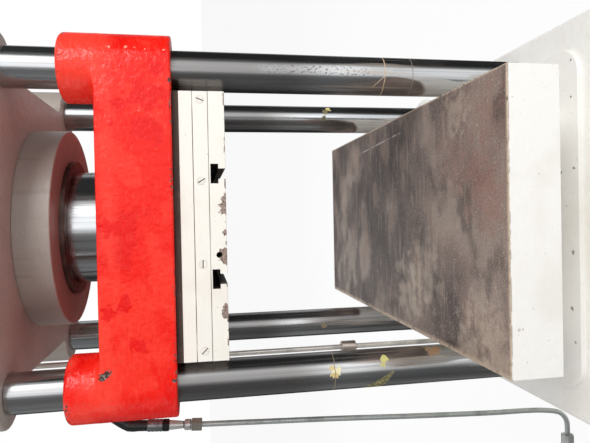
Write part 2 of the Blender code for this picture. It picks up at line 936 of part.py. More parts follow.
ram_low = crosshead_top - RAM_SEAT + CLEARANCE
groove_low = crosshead_top + RAM_GROOVE_RISE
turned(
    "ram",
    [
        (0, piston_low + SPIGOT_LENGTH - ram_low),
        (SPIGOT_R, piston_low + SPIGOT_LENGTH - ram_low),
        (SPIGOT_R, piston_low - CLEARANCE - ram_low),
        (RAM_R, piston_low - CLEARANCE - ram_low),
        (RAM_R, groove_low + RAM_GROOVE_WIDTH - ram_low),
        (RAM_R - RAM_GROOVE, groove_low + RAM_GROOVE_WIDTH - ram_low),
        (RAM_R - RAM_GROOVE, groove_low - ram_low),
        (RAM_R, groove_low - ram_low),
        (RAM_R, 0),
        (0, 0),
    ],
    CYLINDER_STEPS,
    "bright_steel",
    (0, 0, ram_low),
    slide,
)
clamp_low = crosshead_top + CLEARANCE
lip_low = groove_low + CLEARANCE - clamp_low
lip_high = groove_low + RAM_GROOVE_WIDTH - CLEARANCE - clamp_low
turned(
    "ram_clamp_ring",
    [
        (CLAMP_RING_R - CLAMP_RING_CHAMFER, CLAMP_RING_HEIGHT),
        (CLAMP_RING_R, CLAMP_RING_HEIGHT - CLAMP_RING_CHAMFER),
        (CLAMP_RING_R, 0),
        (RAM_R + CLEARANCE, 0),
        (RAM_R + CLEARANCE, lip_low),
        (RAM_R - RAM_GROOVE + CLEARANCE, lip_low),
        (RAM_R - RAM_GROOVE + CLEARANCE, lip_high),
        (RAM_R + CLEARANCE, lip_high),
        (RAM_R + CLEARANCE, CLAMP_RING_HEIGHT),
    ],
    CYLINDER_STEPS,
    "machined",
    (0, 0, clamp_low),
    slide,
)
piston_r = BORE_R - PISTON_GAP
seal_low = (PISTON_HEIGHT - PISTON_GROOVE_WIDTH) / 2
turned(
    "piston",
    [
        (0, PISTON_HEIGHT),
        (piston_r, PISTON_HEIGHT),
        (piston_r, seal_low + PISTON_GROOVE_WIDTH),
        (piston_r - PISTON_GROOVE, seal_low + PISTON_GROOVE_WIDTH),
        (piston_r - PISTON_GROOVE, seal_low),
        (piston_r, seal_low),
        (piston_r, 0),
        (SPIGOT_R + CLEARANCE, 0),
        (SPIGOT_R + CLEARANCE, SPIGOT_LENGTH + CLEARANCE),
        (0, SPIGOT_LENGTH + CLEARANCE),
    ],
    CYLINDER_STEPS,
    "machined",
    (0, 0, piston_low),
    slide,
)
turned(
    "piston_seal",
    ring(
        piston_r - PISTON_GROOVE + CLEARANCE,
        BORE_R - CLEARANCE,
        CLEARANCE,
        PISTON_GROOVE_WIDTH - CLEARANCE,
    ),
    CYLINDER_STEPS,
    "seal",
    (0, 0, piston_low + seal_low),
    slide,
)

# Platen plates
for name, low, thickness, look in (
    ("insulation_board", board_low, INSULATION, "board"),
    ("backing_plate", backing_low, BACKING_PLATE, "ivory_paint"),
    ("heating_plate", heating_low, HEATING_PLATE, "ivory_paint"),
):
    plate = box(
        name,
        (PLATEN_WIDTH, PLATEN_DEPTH, thickness - CLEARANCE),
        look,
        (0, 0, low),
        slide,
        PLATE_EDGE,
    )
front = -PLATEN_DEPTH / 2
channel_rise = heating_low + (HEATING_PLATE - CLEARANCE) / 2
for count, share in enumerate(PLUG_PLACE_SHARES, 1):
    place = share * PLATEN_WIDTH / 2
    channel = turned(
        f"channel_{count}",
        [
            (0, OVERRUN),
            (PLUG_R + CLEARANCE, OVERRUN),
            (PLUG_R + CLEARANCE, -PLUG_LENGTH),
            (CHANNEL_R, -PLUG_LENGTH),
            (CHANNEL_R, CHANNEL_WALL - PLATEN_DEPTH),
            (0, CHANNEL_WALL - PLATEN_DEPTH),
        ],
        FITTING_STEPS,
        location=(place, front, channel_rise),
    )
    channel.rotation_euler.x = pi / 2
    shape(plate, "DIFFERENCE", channel)
    plug = turned(
        f"plug_{count}",
        [
            (0, PLUG_PROUD),
            (PLUG_R, PLUG_PROUD),
            (PLUG_R, CLEARANCE - PLUG_LENGTH),
            (0, CLEARANCE - PLUG_LENGTH),
        ],
        FITTING_STEPS,
        "zinc",
        (place, front, channel_rise),
        slide,
    )
    plug.rotation_euler.x = pi / 2
    slot = box(
        f"plug_slot_{count}",
        (2 * PLUG_R + 2 * OVERRUN, PLUG_SLOT, PLUG_SLOT_DEPTH + OVERRUN),
        location=(0, 0, PLUG_PROUD - PLUG_SLOT_DEPTH),
    )
    slot.parent = plug
    shape(plug, "DIFFERENCE", slot)

slot_top = SLOT_NECK_DEPTH + SLOT_HEAD_DEPTH
tslot_outline = [(-PLATEN_WIDTH / 2, 0)]
for middle in (-SLOT_X, SLOT_X):
    tslot_outline += [
        (middle - SLOT_NECK / 2, 0),
        (middle - SLOT_NECK / 2, SLOT_NECK_DEPTH),
        (middle - SLOT_HEAD / 2, SLOT_NECK_DEPTH),
        (middle - SLOT_HEAD / 2, slot_top),
        (middle + SLOT_HEAD / 2, slot_top),
        (middle + SLOT_HEAD / 2, SLOT_NECK_DEPTH),
        (middle + SLOT_NECK / 2, SLOT_NECK_DEPTH),
        (middle + SLOT_NECK / 2, 0),
    ]
tslot_outline += [
    (PLATEN_WIDTH / 2, 0),
    (PLATEN_WIDTH / 2, TSLOT_PLATE - CLEARANCE),
    (-PLATEN_WIDTH / 2, TSLOT_PLATE - CLEARANCE),
]
tslot_plate = prism(
    "tslot_plate", tslot_outline, PLATEN_DEPTH, "ivory_paint", (0, 0, platen_low), slide
)
tslot_plate.rotation_euler.x = pi / 2
probe_hole = bar("probe_hole", PROBE_R, PROBE_DEPTH + OVERRUN, 12)
probe_hole.rotation_euler.x = -pi / 2
probe_hole.location = (-PROBE_X, front - OVERRUN, platen_low + PROBE_RISE)
shape(tslot_plate, "DIFFERENCE", probe_hole)

# Hydraulic line
line = bpy.data.objects.new("hose_end", None)
press.objects.link(line)
line.location = (-line_x, 0, line_height)
line.rotation_euler.y = LINE_LEAN


def on_line(obj, top, length):
    """Hangs a fitting on the line's own axis, its upper face this far below the hose end."""
    obj.parent = line
    obj.location = (0, 0, -top - length)
    return top + length + CLEARANCE


def ferrule(name):
    return turned(
        name,
        rounded(
            [
                (0, FERRULE_LENGTH),
                (FERRULE_R, FERRULE_LENGTH, FERRULE_EDGE),
                (FERRULE_R, 0, FERRULE_EDGE),
                (0, 0),
            ],
            closed=False,
            arc_step=radians(90),
        ),
        FITTING_STEPS,
        "zinc",
    )


below = on_line(ferrule("hose_ferrule"), CLEARANCE, FERRULE_LENGTH)
below = on_line(
    hexagon("hose_swivel_nut", SWIVEL_FLATS, SWIVEL_LENGTH, LINE_NUT_CHAMFER, "zinc"),
    below,
    SWIVEL_LENGTH,
)
below = on_line(
    turned(
        "coupling_body",
        [
            (0, COUPLING_LENGTH),
            (COUPLING_TOP_R, COUPLING_LENGTH),
            (COUPLING_LOW_R, 0),
            (0, 0),
        ],
        FITTING_STEPS,
        "zinc",
    ),
    below,
    COUPLING_LENGTH,
)
below = on_line(
    turned(
        "coupling_collar",
        rounded(
            [
                (0, COLLAR_LENGTH),
                (COLLAR_R, COLLAR_LENGTH, COLLAR_EDGE),
                (COLLAR_R, 0, COLLAR_EDGE),
                (0, 0),
            ],
            closed=False,
            arc_step=radians(90),
        ),
        FITTING_STEPS,
        "zinc",
    ),
    below,
    COLLAR_LENGTH,
)
below = on_line(
    hexagon("pipe_nut", PIPE_NUT_FLATS, PIPE_NUT_LENGTH, LINE_NUT_CHAMFER, "zinc"),
    below,
    PIPE_NUT_LENGTH,
)

pipe_x = -line_x - below * sin(LINE_LEAN)
pipe_z = line_height - below * cos(LINE_LEAN)
pipe_route = smooth_route(
    [
        (pipe_x - PIPE_RUN * run_share, 0, pipe_z - PIPE_DROP * drop_share)
        for run_share, drop_share in PIPE_ROUTE_SHARES
    ],
    PIPE_POINTS,
)
tube("pressure_pipe", pipe_route, PIPE_R, "zinc")
union = hexagon("pipe_union", UNION_FLATS, UNION_LENGTH, UNION_CHAMFER, "zinc")
union.rotation_euler.y = -pi / 2
union.location = (pipe_x - PIPE_RUN - CLEARANCE, 0, pipe_z - PIPE_DROP)

port = hexagon("port_adaptor", PORT_FLATS, PORT_LENGTH, UNION_CHAMFER, "zinc")
port.rotation_euler.y = -pi / 2
port.location = (-CYLINDER_R - CLEARANCE, 0, port_height)
ferrule_x = -CYLINDER_R - PORT_LENGTH - 2 * CLEARANCE
top_ferrule = ferrule("hose_ferrule_top")
top_ferrule.rotation_euler.y = -pi / 2
top_ferrule.location = (ferrule_x, 0, port_height)
hose_x = ferrule_x - FERRULE_LENGTH - CLEARANCE
hose_drop = port_height - line_height
hose_lead = 2 * HOSE_R  # straight stretch where the hose leaves a ferrule
hose_knots = [
    (hose_x, 0, port_height),
    (hose_x - hose_lead, 0, port_height),
    *[
        (hose_x - (line_x + hose_x) * run_share, 0, port_height - hose_drop * drop_share)
        for run_share, drop_share in HOSE_ROUTE_SHARES
    ],
    (-line_x + hose_lead * sin(LINE_LEAN), 0, line_height + hose_lead * cos(LINE_LEAN)),
    (-line_x, 0, line_height),
]
tube("hose", smooth_route(hose_knots, HOSE_POINTS), HOSE_R, "hose_rubber")

# Limit rod
rod_low = BASE_HEIGHT - ROD_LOW
rod_high = crown_low + ROD_HIGH
turned(
    "limit_rod",
    rounded(
        [
            (0, rod_high - rod_low),
            (ROD_R, rod_high - rod_low, ROD_END_CHAMFER),
            (ROD_R, 0, ROD_END_CHAMFER),
            (0, 0),
        ],
        closed=False,
        arc_step=radians(90),
    ),
    FITTING_STEPS,
    "bright_steel",
    (-rod_x, 0, rod_low),
)
rod_hole = bar("rod_hole", ROD_R + CLEARANCE, rod_high - rod_low + 2 * OVERRUN, FITTING_STEPS)
rod_hole.location = (-rod_x, 0, rod_low - CLEARANCE)
bracket_x = -waist_half - CLEARANCE - BRACKET_LENGTH / 2
for name, level, look in (
    ("limit_rod_bracket_low", rod_low + ROD_SEAT - BRACKET_HEIGHT, "white_paint"),
    ("limit_rod_bracket_high", rod_high - 2 * BRACKET_HEIGHT, "ivory_paint"),
):
    bracket = box(
        name,
        (BRACKET_LENGTH, 2 * BRACKET_HALF, BRACKET_HEIGHT),
        look,
        (bracket_x, 0, level),
        edge=BRACKET_EDGE,
    )
    shape(bracket, "DIFFERENCE", rod_hole)
turned(
    "stop_collar",
    rounded(
        [
            (COLLAR_STOP_R, COLLAR_STOP_HEIGHT, COLLAR_STOP_EDGE),
            (COLLAR_STOP_R, 0, COLLAR_STOP_EDGE),
            (ROD_R + CLEARANCE, 0),
            (ROD_R + CLEARANCE, COLLAR_STOP_HEIGHT),
        ],
        arc_step=radians(90),
    ),
    FITTING_STEPS,
    "black_steel",
    (-rod_x, 0, table_top + COLLAR_STOP_RISE),
)


# Shading of the finished pieces
bpy.context.view_layer.update()
graph = bpy.context.evaluated_depsgraph_get()
made = []
for piece in press.objects:
    if piece.type == "MESH":
        made.append((piece, bpy.data.meshes.new_from_object(piece.evaluated_get(graph))))
for piece, mesh in made:
    piece.modifiers.clear()
    piece.data = mesh
    mesh.name = piece.name
    mesh.shade_smooth()
    mesh.set_sharp_from_angle(angle=radians(35))
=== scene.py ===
"""Looks of the hydraulic press: fine surfaces, finishes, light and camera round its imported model.

Metres, +Z up, front towards -Y, the origin on the floor midway between the columns.
Each fine piece takes its place from the solid that it stands for.
"""

from math import cos, pi, radians, sin, tan

import bmesh
import bpy
from mathutils import Matrix, Vector


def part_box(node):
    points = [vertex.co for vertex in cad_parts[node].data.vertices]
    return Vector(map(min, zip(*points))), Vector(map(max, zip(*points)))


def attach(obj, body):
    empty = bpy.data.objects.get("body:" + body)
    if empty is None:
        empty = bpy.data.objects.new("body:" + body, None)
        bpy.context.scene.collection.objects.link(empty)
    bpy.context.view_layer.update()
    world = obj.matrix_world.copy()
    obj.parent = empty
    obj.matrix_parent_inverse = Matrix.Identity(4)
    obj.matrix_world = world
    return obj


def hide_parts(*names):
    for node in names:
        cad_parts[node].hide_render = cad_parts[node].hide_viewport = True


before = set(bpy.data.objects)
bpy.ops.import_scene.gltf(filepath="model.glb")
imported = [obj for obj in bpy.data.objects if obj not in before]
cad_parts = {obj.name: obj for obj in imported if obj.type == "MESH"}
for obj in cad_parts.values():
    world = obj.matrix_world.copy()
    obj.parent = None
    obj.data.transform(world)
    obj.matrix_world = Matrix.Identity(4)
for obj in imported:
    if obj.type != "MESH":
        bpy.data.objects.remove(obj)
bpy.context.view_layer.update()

BOX = {node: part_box(node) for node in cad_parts}
CORNERS = {"front_left": (-1, -1), "front_right": (1, -1), "rear_left": (-1, 1), "rear_right": (1, 1)}
FIXED, MOVING = "frame", "moving_crosshead"


def low(node):
    return BOX[node][0]


def high(node):
    return BOX[node][1]


def middle(node):
    return (low(node) + high(node)) / 2


def levels(node):
    """The heights of a solid's bottom and top."""
    return low(node).z, high(node).z


# Sizes that the solids' boxes don't give
GAP = 0.0003  # between pieces that touch or fit into each other
WELD = 0.000001
TINY = 0.000001
OVERRUN = 0.006  # how far a cutter reaches past the face that it cuts
TURNED_EDGE = 0.001
FINE_EDGE = 0.0006
RING_EDGE = 0.0004
COLUMN_R = 0.035
COLUMN_EDGE = 0.0015
COLUMN_END_R = 0.024
THREAD_DEPTH = 0.0024
THREAD_PITCH = 0.005
THREAD_INSET = 0.006
THREAD_SLOPE = 1.35
THREAD_LAND = 0.15
THREAD_LAP = 0.010
NUT_CHAMFER = 0.004
BOSS_R = 0.059
WAIST_INSET = 0.002
CASTING_EDGE_R = 0.004
SKIN = 0.0002
BASE_CORNER_R = 0.030
BASE_TURN = 0.120
BASE_FILLET_SHARE = 0.48
DECK_EDGE_R = 0.006
PAD_PAST_COLUMN = 0.013
PAD_FRONT = 0.4125
PAD_CORNER_R = 0.045
PAD_HEIGHT = 0.008
PAD_INSET = 0.012
PAD_EDGE_R = 0.0015
PAD_COLUMN_GAP = 0.002
BASE_WALL = 0.045
WAIST_WALL = 0.036
BASE_WEB = 0.060
BASE_PLATE = 0.180
CORE_CORNER_R = 0.020
NUT_POCKET_R = 0.047
SPOTFACE = 0.002
RISER_EDGE = 0.004
TABLE_EDGE = 0.0015
TABLE_SKIN = 0.0012
CROSSHEAD_BOSS = 0.0583
BOSS_RIM_R = 0.009
BOSS_FLARE_R = 0.012
BOSS_SKIRT = 0.006
BUSH_WALL = 0.008
WIPER_WALL = 0.011
WIPER_SEAT = 0.009
WIPER_LIP = 0.0012
WIPER_LIP_SHARE = 0.45
RAM_R = 0.115
RAM_SEAT = 0.020
RAM_GROOVE = 0.007
RAM_GROOVE_WIDTH = 0.011
RAM_GROOVE_RISE = 0.005
SPIGOT_R = 0.080
CLAMP_EDGE = 0.002
CYLINDER_R = 0.170
BORE_R = 0.130
GLAND_R = 0.138
GLAND_SEAT = 0.020
GLAND_LIP = 0.010
GLAND_LINING = 0.0075
GLAND_BORE_GAP = 0.0006
GLAND_EDGE = 0.0015
GLAND_TOP_EDGE = 0.0005
FLANGE_THICK = 0.0628
FLANGE_EDGE_R = 0.003
CYLINDER_EDGE_R = 0.006
CYLINDER_HEAD = 0.060
LOCK_EDGE = 0.002
LOCK_FOOT_EDGE = 0.0005
LINE_X = 0.4315
LINE_RISE = 0.549
LINE_LEAN = radians(3.6)
HOSE_R = 0.0115
FERRULE_R = 0.013
FERRULE_LENGTH = 0.032
FERRULE_CRIMPS = 3
CRIMP_DEPTH = 0.0004
CRIMP_SHARES = ((0.30, 0), (0.18, 1), (-0.18, 1), (-0.30, 0))
SWIVEL_FLATS = 0.024
SWIVEL_LENGTH = 0.013
COUPLING_TOP_R = 0.0105
COUPLING_LOW_R = 0.0075
COUPLING_LENGTH = 0.032
COUPLING_EDGE = 0.0005
COLLAR_R = 0.0115
COLLAR_LENGTH = 0.015
COLLAR_EDGE = 0.003
# half the width of the painted shade line where the line's fittings meet
SEAM_SHADE = 0.0011
PIPE_NUT_FLATS = 0.0245
PIPE_NUT_LENGTH = 0.0225
LINE_NUT_CHAMFER = 0.002
PIPE_R = 0.006
PIPE_DROP = 0.896
PIPE_RUN = 0.104
PIPE_ROUTE_SHARES = (
    (0.000, 0.000), (0.058, 0.149), (0.135, 0.344), (0.231, 0.548), (0.317, 0.763), (0.342, 0.872),
    (0.375, 0.930), (0.452, 0.975), (0.625, 0.996), (0.800, 1.000), (1.000, 1.000),
)
UNION_FLATS = 0.027
PORT_FLATS = 0.030
HOSE_ROUTE_SHARES = (
    (0.276, 0.006), (0.523, 0.061), (0.664, 0.158), (0.693, 0.289), (0.664, 0.447),
    (0.635, 0.605), (0.635, 0.749), (0.731, 0.854), (0.886, 0.909), (0.988, 0.949),
)
ROUTE_POINTS = 90
ROD_X = 0.288
ROD_R = 0.0055
STOP_R = 0.013
STOP_EDGE = 0.0015
SOCKET_FLATS = 0.004
SOCKET_CHAMFER = 0.0002
BRACKET_EDGE = 0.0015
SCREW_R = 0.0035
SCREW_SINK = 0.002
SCREW_OUT = 0.0095
PLUG_R = 0.007
PLUG_SLOT = 0.0018
PLUG_SLOT_DEPTH = 0.0016
PLUG_SLOT_EDGE = 0.0001
PLUG_SLOT_ANGLES = (45, 0, 58, -70)
SLOT_X = 0.090
SLOT_HALF = 0.0169
SLOT_DEPTH = 0.0260

# Facets
BOSS_STEPS = 96
BLEND_STEPS = 20
COLUMN_STEPS = 96
WIDE_STEPS = 160
SMALL_STEPS = 48
THREAD_STEPS = 64
THREAD_ROWS = 10
TUBE_STEPS = 28
SHARP = radians(35)
# Degrees to a facet of a rounded corner
SMOOTH_ARC, ARC, FINE_ARC, ROUND_ARC, EASED_ARC, CHAMFER_ARC = 7.5, 10, 15, 20, 30, 45

column_x = middle("column_front_right").x
column_y = -middle("column_front_right").y
waist_half = column_x - WAIST_INSET
base_half = high("base_casting").x
base_front = -low("base_casting").y
pad_top = high("base_casting").z
deck = pad_top - PAD_HEIGHT
table_top = high("bed_table").z
crosshead_low, boss_top = levels("crosshead")
crosshead_top = boss_top - CROSSHEAD_BOSS
crown_low, crown_top = levels("crown")
line_height = table_top + LINE_RISE

UPRIGHT = Matrix.Identity(4)
FORWARDS = Matrix.Rotation(pi / 2, 4, "X")
LEFTWARDS = Matrix.Rotation(-pi / 2, 4, "Y")


# Meshes
def made(name, bm):
    """A mesh object at the origin, with its faces turned outwards."""
    bmesh.ops.recalc_face_normals(bm, faces=bm.faces)
    mesh = bpy.data.meshes.new(name)
    bm.to_mesh(mesh)
    bm.free()
    obj = bpy.data.objects.new(name, mesh)
    bpy.context.scene.collection.objects.link(obj)
    return obj


def bridge(bm, rows):
    """Faces between neighbouring rounds of vertices; a round of one vertex is a tip."""
    for upper, lower in zip(rows, rows[1:]):
        for i in range(max(len(upper), len(lower))):
            around = ((upper, i - 1), (upper, i), (lower, i), (lower, i - 1))
            corners = tuple(dict.fromkeys(row[place % len(row)] for row, place in around))
            if len(corners) > 2:
                bm.faces.new(corners)


def bevel(bm, edges, width, segments):
    bmesh.ops.bevel(bm, geom=edges, offset=width, segments=segments, profile=0.5, affect="EDGES")


def rounded(corners, arc=ARC):
    """An outline: each (x, y, radius) rounded in steps of about arc degrees, each (x, y) sharp."""
    points = []
    for place, corner in enumerate(corners):
        at = Vector(corner[:2])
        if len(corner) < 3:
            points.append(at)
            continue
        back = (Vector(corners[place - 1][:2]) - at).normalized()
        ahead = (Vector(corners[(place + 1) % len(corners)][:2]) - at).normalized()
        half = back.angle(ahead) / 2
        centre = at + (back + ahead).normalized() * corner[2] / sin(half)
        start = at + back * corner[2] / tan(half) - centre
        turn = (pi - 2 * half) * (1 if back.cross(ahead) < 0 else -1)
        count = max(2, round(abs(turn) / radians(arc)))
        for step in range(count + 1):
            points.append(centre + Matrix.Rotation(turn * step / count, 2) @ start)
    apart = [points[0]]
    for point in points[1:]:
        if (point - apart[-1]).length > TINY:
            apart.append(point)
    return [tuple(point) for point in apart]


def prism(name, outline, bottom, top, edge_r=0.0, rims=("bottom", "top"), segments=4):
    """An outline raised from bottom to top, with rounded rims."""
    bm = bmesh.new()
    rows = [[bm.verts.new((x, y, height)) for x, y in outline] for height in (bottom, top)]
    for row in rows:
        bm.faces.new(row)
    bridge(bm, rows)
    bmesh.ops.recalc_face_normals(bm, faces=bm.faces)
    edges = [
        edge
        for edge in bm.edges
        for rim, level in (("bottom", bottom), ("top", top))
        if rim in rims and all(abs(vertex.co.z - level) < TINY for vertex in edge.verts)
    ]
    if edge_r:
        bevel(bm, edges, edge_r, segments)
    return made(name, bm)


def block(name, lowest, highest, edge_r, segments=3):
    """A block between two corners, all its edges rounded."""
    bm = bmesh.new()
    bmesh.ops.create_cube(bm, size=1)
    size = Vector(highest) - Vector(lowest)
    bmesh.ops.scale(bm, vec=size, verts=bm.verts)
    bmesh.ops.translate(bm, vec=Vector(lowest) + size / 2, verts=bm.verts)
    bevel(bm, bm.edges[:], edge_r, segments)
    return made(name, bm)


def lathe(name, profile, steps=WIDE_STEPS, at=(0, 0, 0), turn=UPRIGHT, closed=True):
    """A profile (radius, height), down its outer side, turned about the place's own Z axis."""
    bm = bmesh.new()
    rows = []
    for radius, height in profile:
        angles = [2 * pi * i / steps for i in range(steps if radius > TINY else 1)]
        rows.append([bm.verts.new((radius * cos(a), radius * sin(a), height)) for a in angles])
    if closed and min(radius for radius, _ in profile) > TINY:
        rows.append(rows[0])
    bridge(bm, rows)
    bmesh.ops.transform(bm, matrix=Matrix.Translation(at) @ turn, verts=bm.verts)
    return made(name, bm)


def ring(inner, outer, bottom, top, edge_r=RING_EDGE):
    """The profile of a plain ring with eased edges."""
    corners = [(outer, top), (outer, bottom), (inner, bottom), (inner, top)]
    return rounded([(*corner, edge_r) for corner in corners], CHAMFER_ARC)


def disc(radius, bottom, top):
    return [(0, top), (radius, top), (radius, bottom), (0, bottom)]


def carve(obj, operation, *others):
    """Cuts (DIFFERENCE), joins (UNION) or keeps what is common (INTERSECT), then welds."""
    for other in others:
        boolean = obj.modifiers.new(other.name, "BOOLEAN")
        boolean.operation = operation
        boolean.solver = "EXACT"
        boolean.object = other
    bpy.context.view_layer.update()
    graph = bpy.context.evaluated_depsgraph_get()
    mesh = bpy.data.meshes.new_from_object(obj.evaluated_get(graph))
    obj.modifiers.clear()
    bm = bmesh.new()
    bm.from_mesh(mesh)
    bmesh.ops.remove_doubles(bm, verts=bm.verts, dist=WELD)
    bmesh.ops.dissolve_degenerate(bm, dist=WELD, edges=bm.edges)
    bm.to_mesh(mesh)
    bm.free()
    obj.data = mesh
    for other in others:
        bpy.data.objects.remove(other, do_unlink=True)


def join(obj, *others):
    """Puts other meshes into this piece as they are."""
    bm = bmesh.new()
    bm.from_mesh(obj.data)
    for other in others:
        bm.from_mesh(other.data)
        bpy.data.objects.remove(other, do_unlink=True)
    bm.to_mesh(obj.data)
    bm.free()


def hexagon(name, flats, height, chamfer, at, turn=UPRIGHT, bore=0.0):
    """A nut: six flats, the corners turned down to a cone at both ends."""
    corner = flats / 2 / cos(pi / 6)
    outline = [(corner * cos(pi * i / 3), corner * sin(pi * i / 3)) for i in range(6)]
    nut = prism(name, outline, 0, height)
    inner, outer = corner - chamfer, corner + chamfer
    cone = [(0, height), (inner, height), (outer, height - chamfer), (outer, chamfer), (inner, 0), (0, 0)]
    carve(nut, "INTERSECT", lathe(name + "_cone", cone, SMALL_STEPS))
    if bore:
        cutter = lathe(name + "_bore", disc(bore, -OVERRUN, height + OVERRUN), COLUMN_STEPS)
        carve(nut, "DIFFERENCE", cutter)
    nut.data.transform(Matrix.Translation(at) @ turn)
    return nut


def thread(name, radius, bottom, top, at):
    """A screw thread's own surface: its radius follows one groove that winds round and up."""
    bm = bmesh.new()
    rows = []
    count = round((top - bottom) / (THREAD_PITCH / THREAD_ROWS))
    for row in range(count + 1):
        height = bottom + (top - bottom) * row / count
        ends = min(1.0, (top - height) / THREAD_PITCH, (height - bottom) / THREAD_PITCH)
        points = []
        for i in range(THREAD_STEPS):
            groove = abs(2 * ((height / THREAD_PITCH - i / THREAD_STEPS) % 1) - 1)
            cut = min(1.0, max(0.0, THREAD_SLOPE * groove - THREAD_LAND))
            here = radius - THREAD_DEPTH * max(1 - ends, cut)
            angle = 2 * pi * i / THREAD_STEPS
            points.append(bm.verts.new((here * cos(angle), here * sin(angle), height)))
        rows.append(points)
    bridge(bm, rows)
    bm.faces.new(rows[0])
    bm.faces.new(rows[-1])
    bmesh.ops.translate(bm, vec=at, verts=bm.verts)
    return made(name, bm)


def smooth_route(points, count):
    """This many points, evenly apart, on a smooth curve through the given ones."""
    knots = [Vector(point) for point in points]
    ends = [2 * knots[0] - knots[1]] + knots + [2 * knots[-1] - knots[-2]]
    fine = []
    for a, b, c, d in zip(ends, ends[1:], ends[2:], ends[3:]):
        for step in range(count):
            t = step / count
            bend = (2 * a - 5 * b + 4 * c - d) * t**2 + (3 * b - a - 3 * c + d) * t**3
            fine.append((2 * b + (c - a) * t + bend) / 2)
    fine.append(knots[-1])
    along = [0.0]
    for a, b in zip(fine, fine[1:]):
        along.append(along[-1] + (b - a).length)
    route, place = [], 0
    for step in range(count):
        want = along[-1] * step / (count - 1)
        while place < len(fine) - 2 and along[place + 1] < want:
            place += 1
        share = (want - along[place]) / (along[place + 1] - along[place])
        route.append(fine[place].lerp(fine[place + 1], share))
    return route


def sweep(name, route, radius):
    """A round tube along a route that lies in the plane y = 0, with flat ends."""
    bm = bmesh.new()
    rows = []
    for place, point in enumerate(route):
        ahead = route[min(place + 1, len(route) - 1)] - route[max(place - 1, 0)]
        side = Vector((0, radius, 0))
        across = ahead.normalized().cross(side)
        angles = [2 * pi * i / TUBE_STEPS for i in range(TUBE_STEPS)]
        rows.append([bm.verts.new(point + side * cos(a) + across * sin(a)) for a in angles])
    bridge(bm, rows)
    bm.faces.new(rows[0])
    bm.faces.new(rows[-1])
    return made(name, bm)


# Plan outlines of the castings
def mirrored_x(points):
    return [(-x, y) for x, y in reversed(points)]


def mirrored_y(points):
    return [(x, -y) for x, y in reversed(points)]


def boss_corner(inset=0.0):
    """A front right boss from its front round to the waist, with a fillet where they meet."""
    step = 2 * pi / BOSS_STEPS
    turn = BLEND_STEPS * step
    fillet = (column_x - waist_half + BOSS_R * cos(turn)) / (1 - cos(turn))
    middle_x = column_x + (BOSS_R + fillet) * cos(turn)
    middle_y = (BOSS_R + fillet) * sin(turn) - column_y
    arcs = BLEND_STEPS // 2 + 1
    boss = [count * step for count in range(-BOSS_STEPS // 4, BLEND_STEPS + 1)]
    blend = [pi + turn * (1 - count / arcs) for count in range(1, arcs + 1)]
    return [
        (x + radius * cos(angle), y + radius * sin(angle))
        for x, y, radius, angles in (
            (column_x, -column_y, BOSS_R - inset, boss), (middle_x, middle_y, fillet + inset, blend)
        )
        for angle in angles
    ]


def casting_outline(inset=0.0):
    """Bosses at the four columns, tangent to the front and the rear, and a waist each side."""
    corner = boss_corner(inset)
    right = corner + mirrored_y(corner)
    return right + mirrored_x(right)


def base_outline(half, front, corner, inset=0.0):
    """A straight block in front, then the same waist and rear bosses as the other castings."""
    waist, turn = waist_half - inset, -BASE_TURN - inset
    fillet = BASE_FILLET_SHARE * (half - waist)
    side = [(0, -front), (half, -front, corner), (half, turn, fillet), (waist, turn, fillet), (waist, 0)]
    right = rounded(side, SMOOTH_ARC)[1:-1] + mirrored_y(boss_corner(inset))
    return right + mirrored_x(right)


def at_columns(name, profile, steps=COLUMN_STEPS):
    """The same turned shape at each of the columns."""
    return [
        lathe(f"{name}_{corner}", profile, steps, (side * column_x, rear * column_y, 0))
        for corner, (side, rear) in CORNERS.items()
    ]


# Node trees
def shade(red, green, blue):
    """A screen colour, 0 to 255, as the light that it stands for."""
    shares = [value / 255 for value in (red, green, blue)]
    return tuple(s / 12.92 if s < 0.04045 else ((s + 0.055) / 1.055) ** 2.4 for s in shares) + (1,)


def feed(tree, socket, value):
    if isinstance(value, bpy.types.NodeSocket):
        tree.links.new(value, socket)
    else:
        socket.default_value = value


def add_node(tree, kind, inputs=(), **settings):
    new = tree.nodes.new("ShaderNode" + kind)
    for key, value in settings.items():
        setattr(new, key, value)
    for key, value in dict(inputs).items():
        feed(tree, new.inputs[key], value)
    return new


def add_math(tree, operation, *values):
    return add_node(tree, "Math", dict(enumerate(values)), operation=operation).outputs[0]


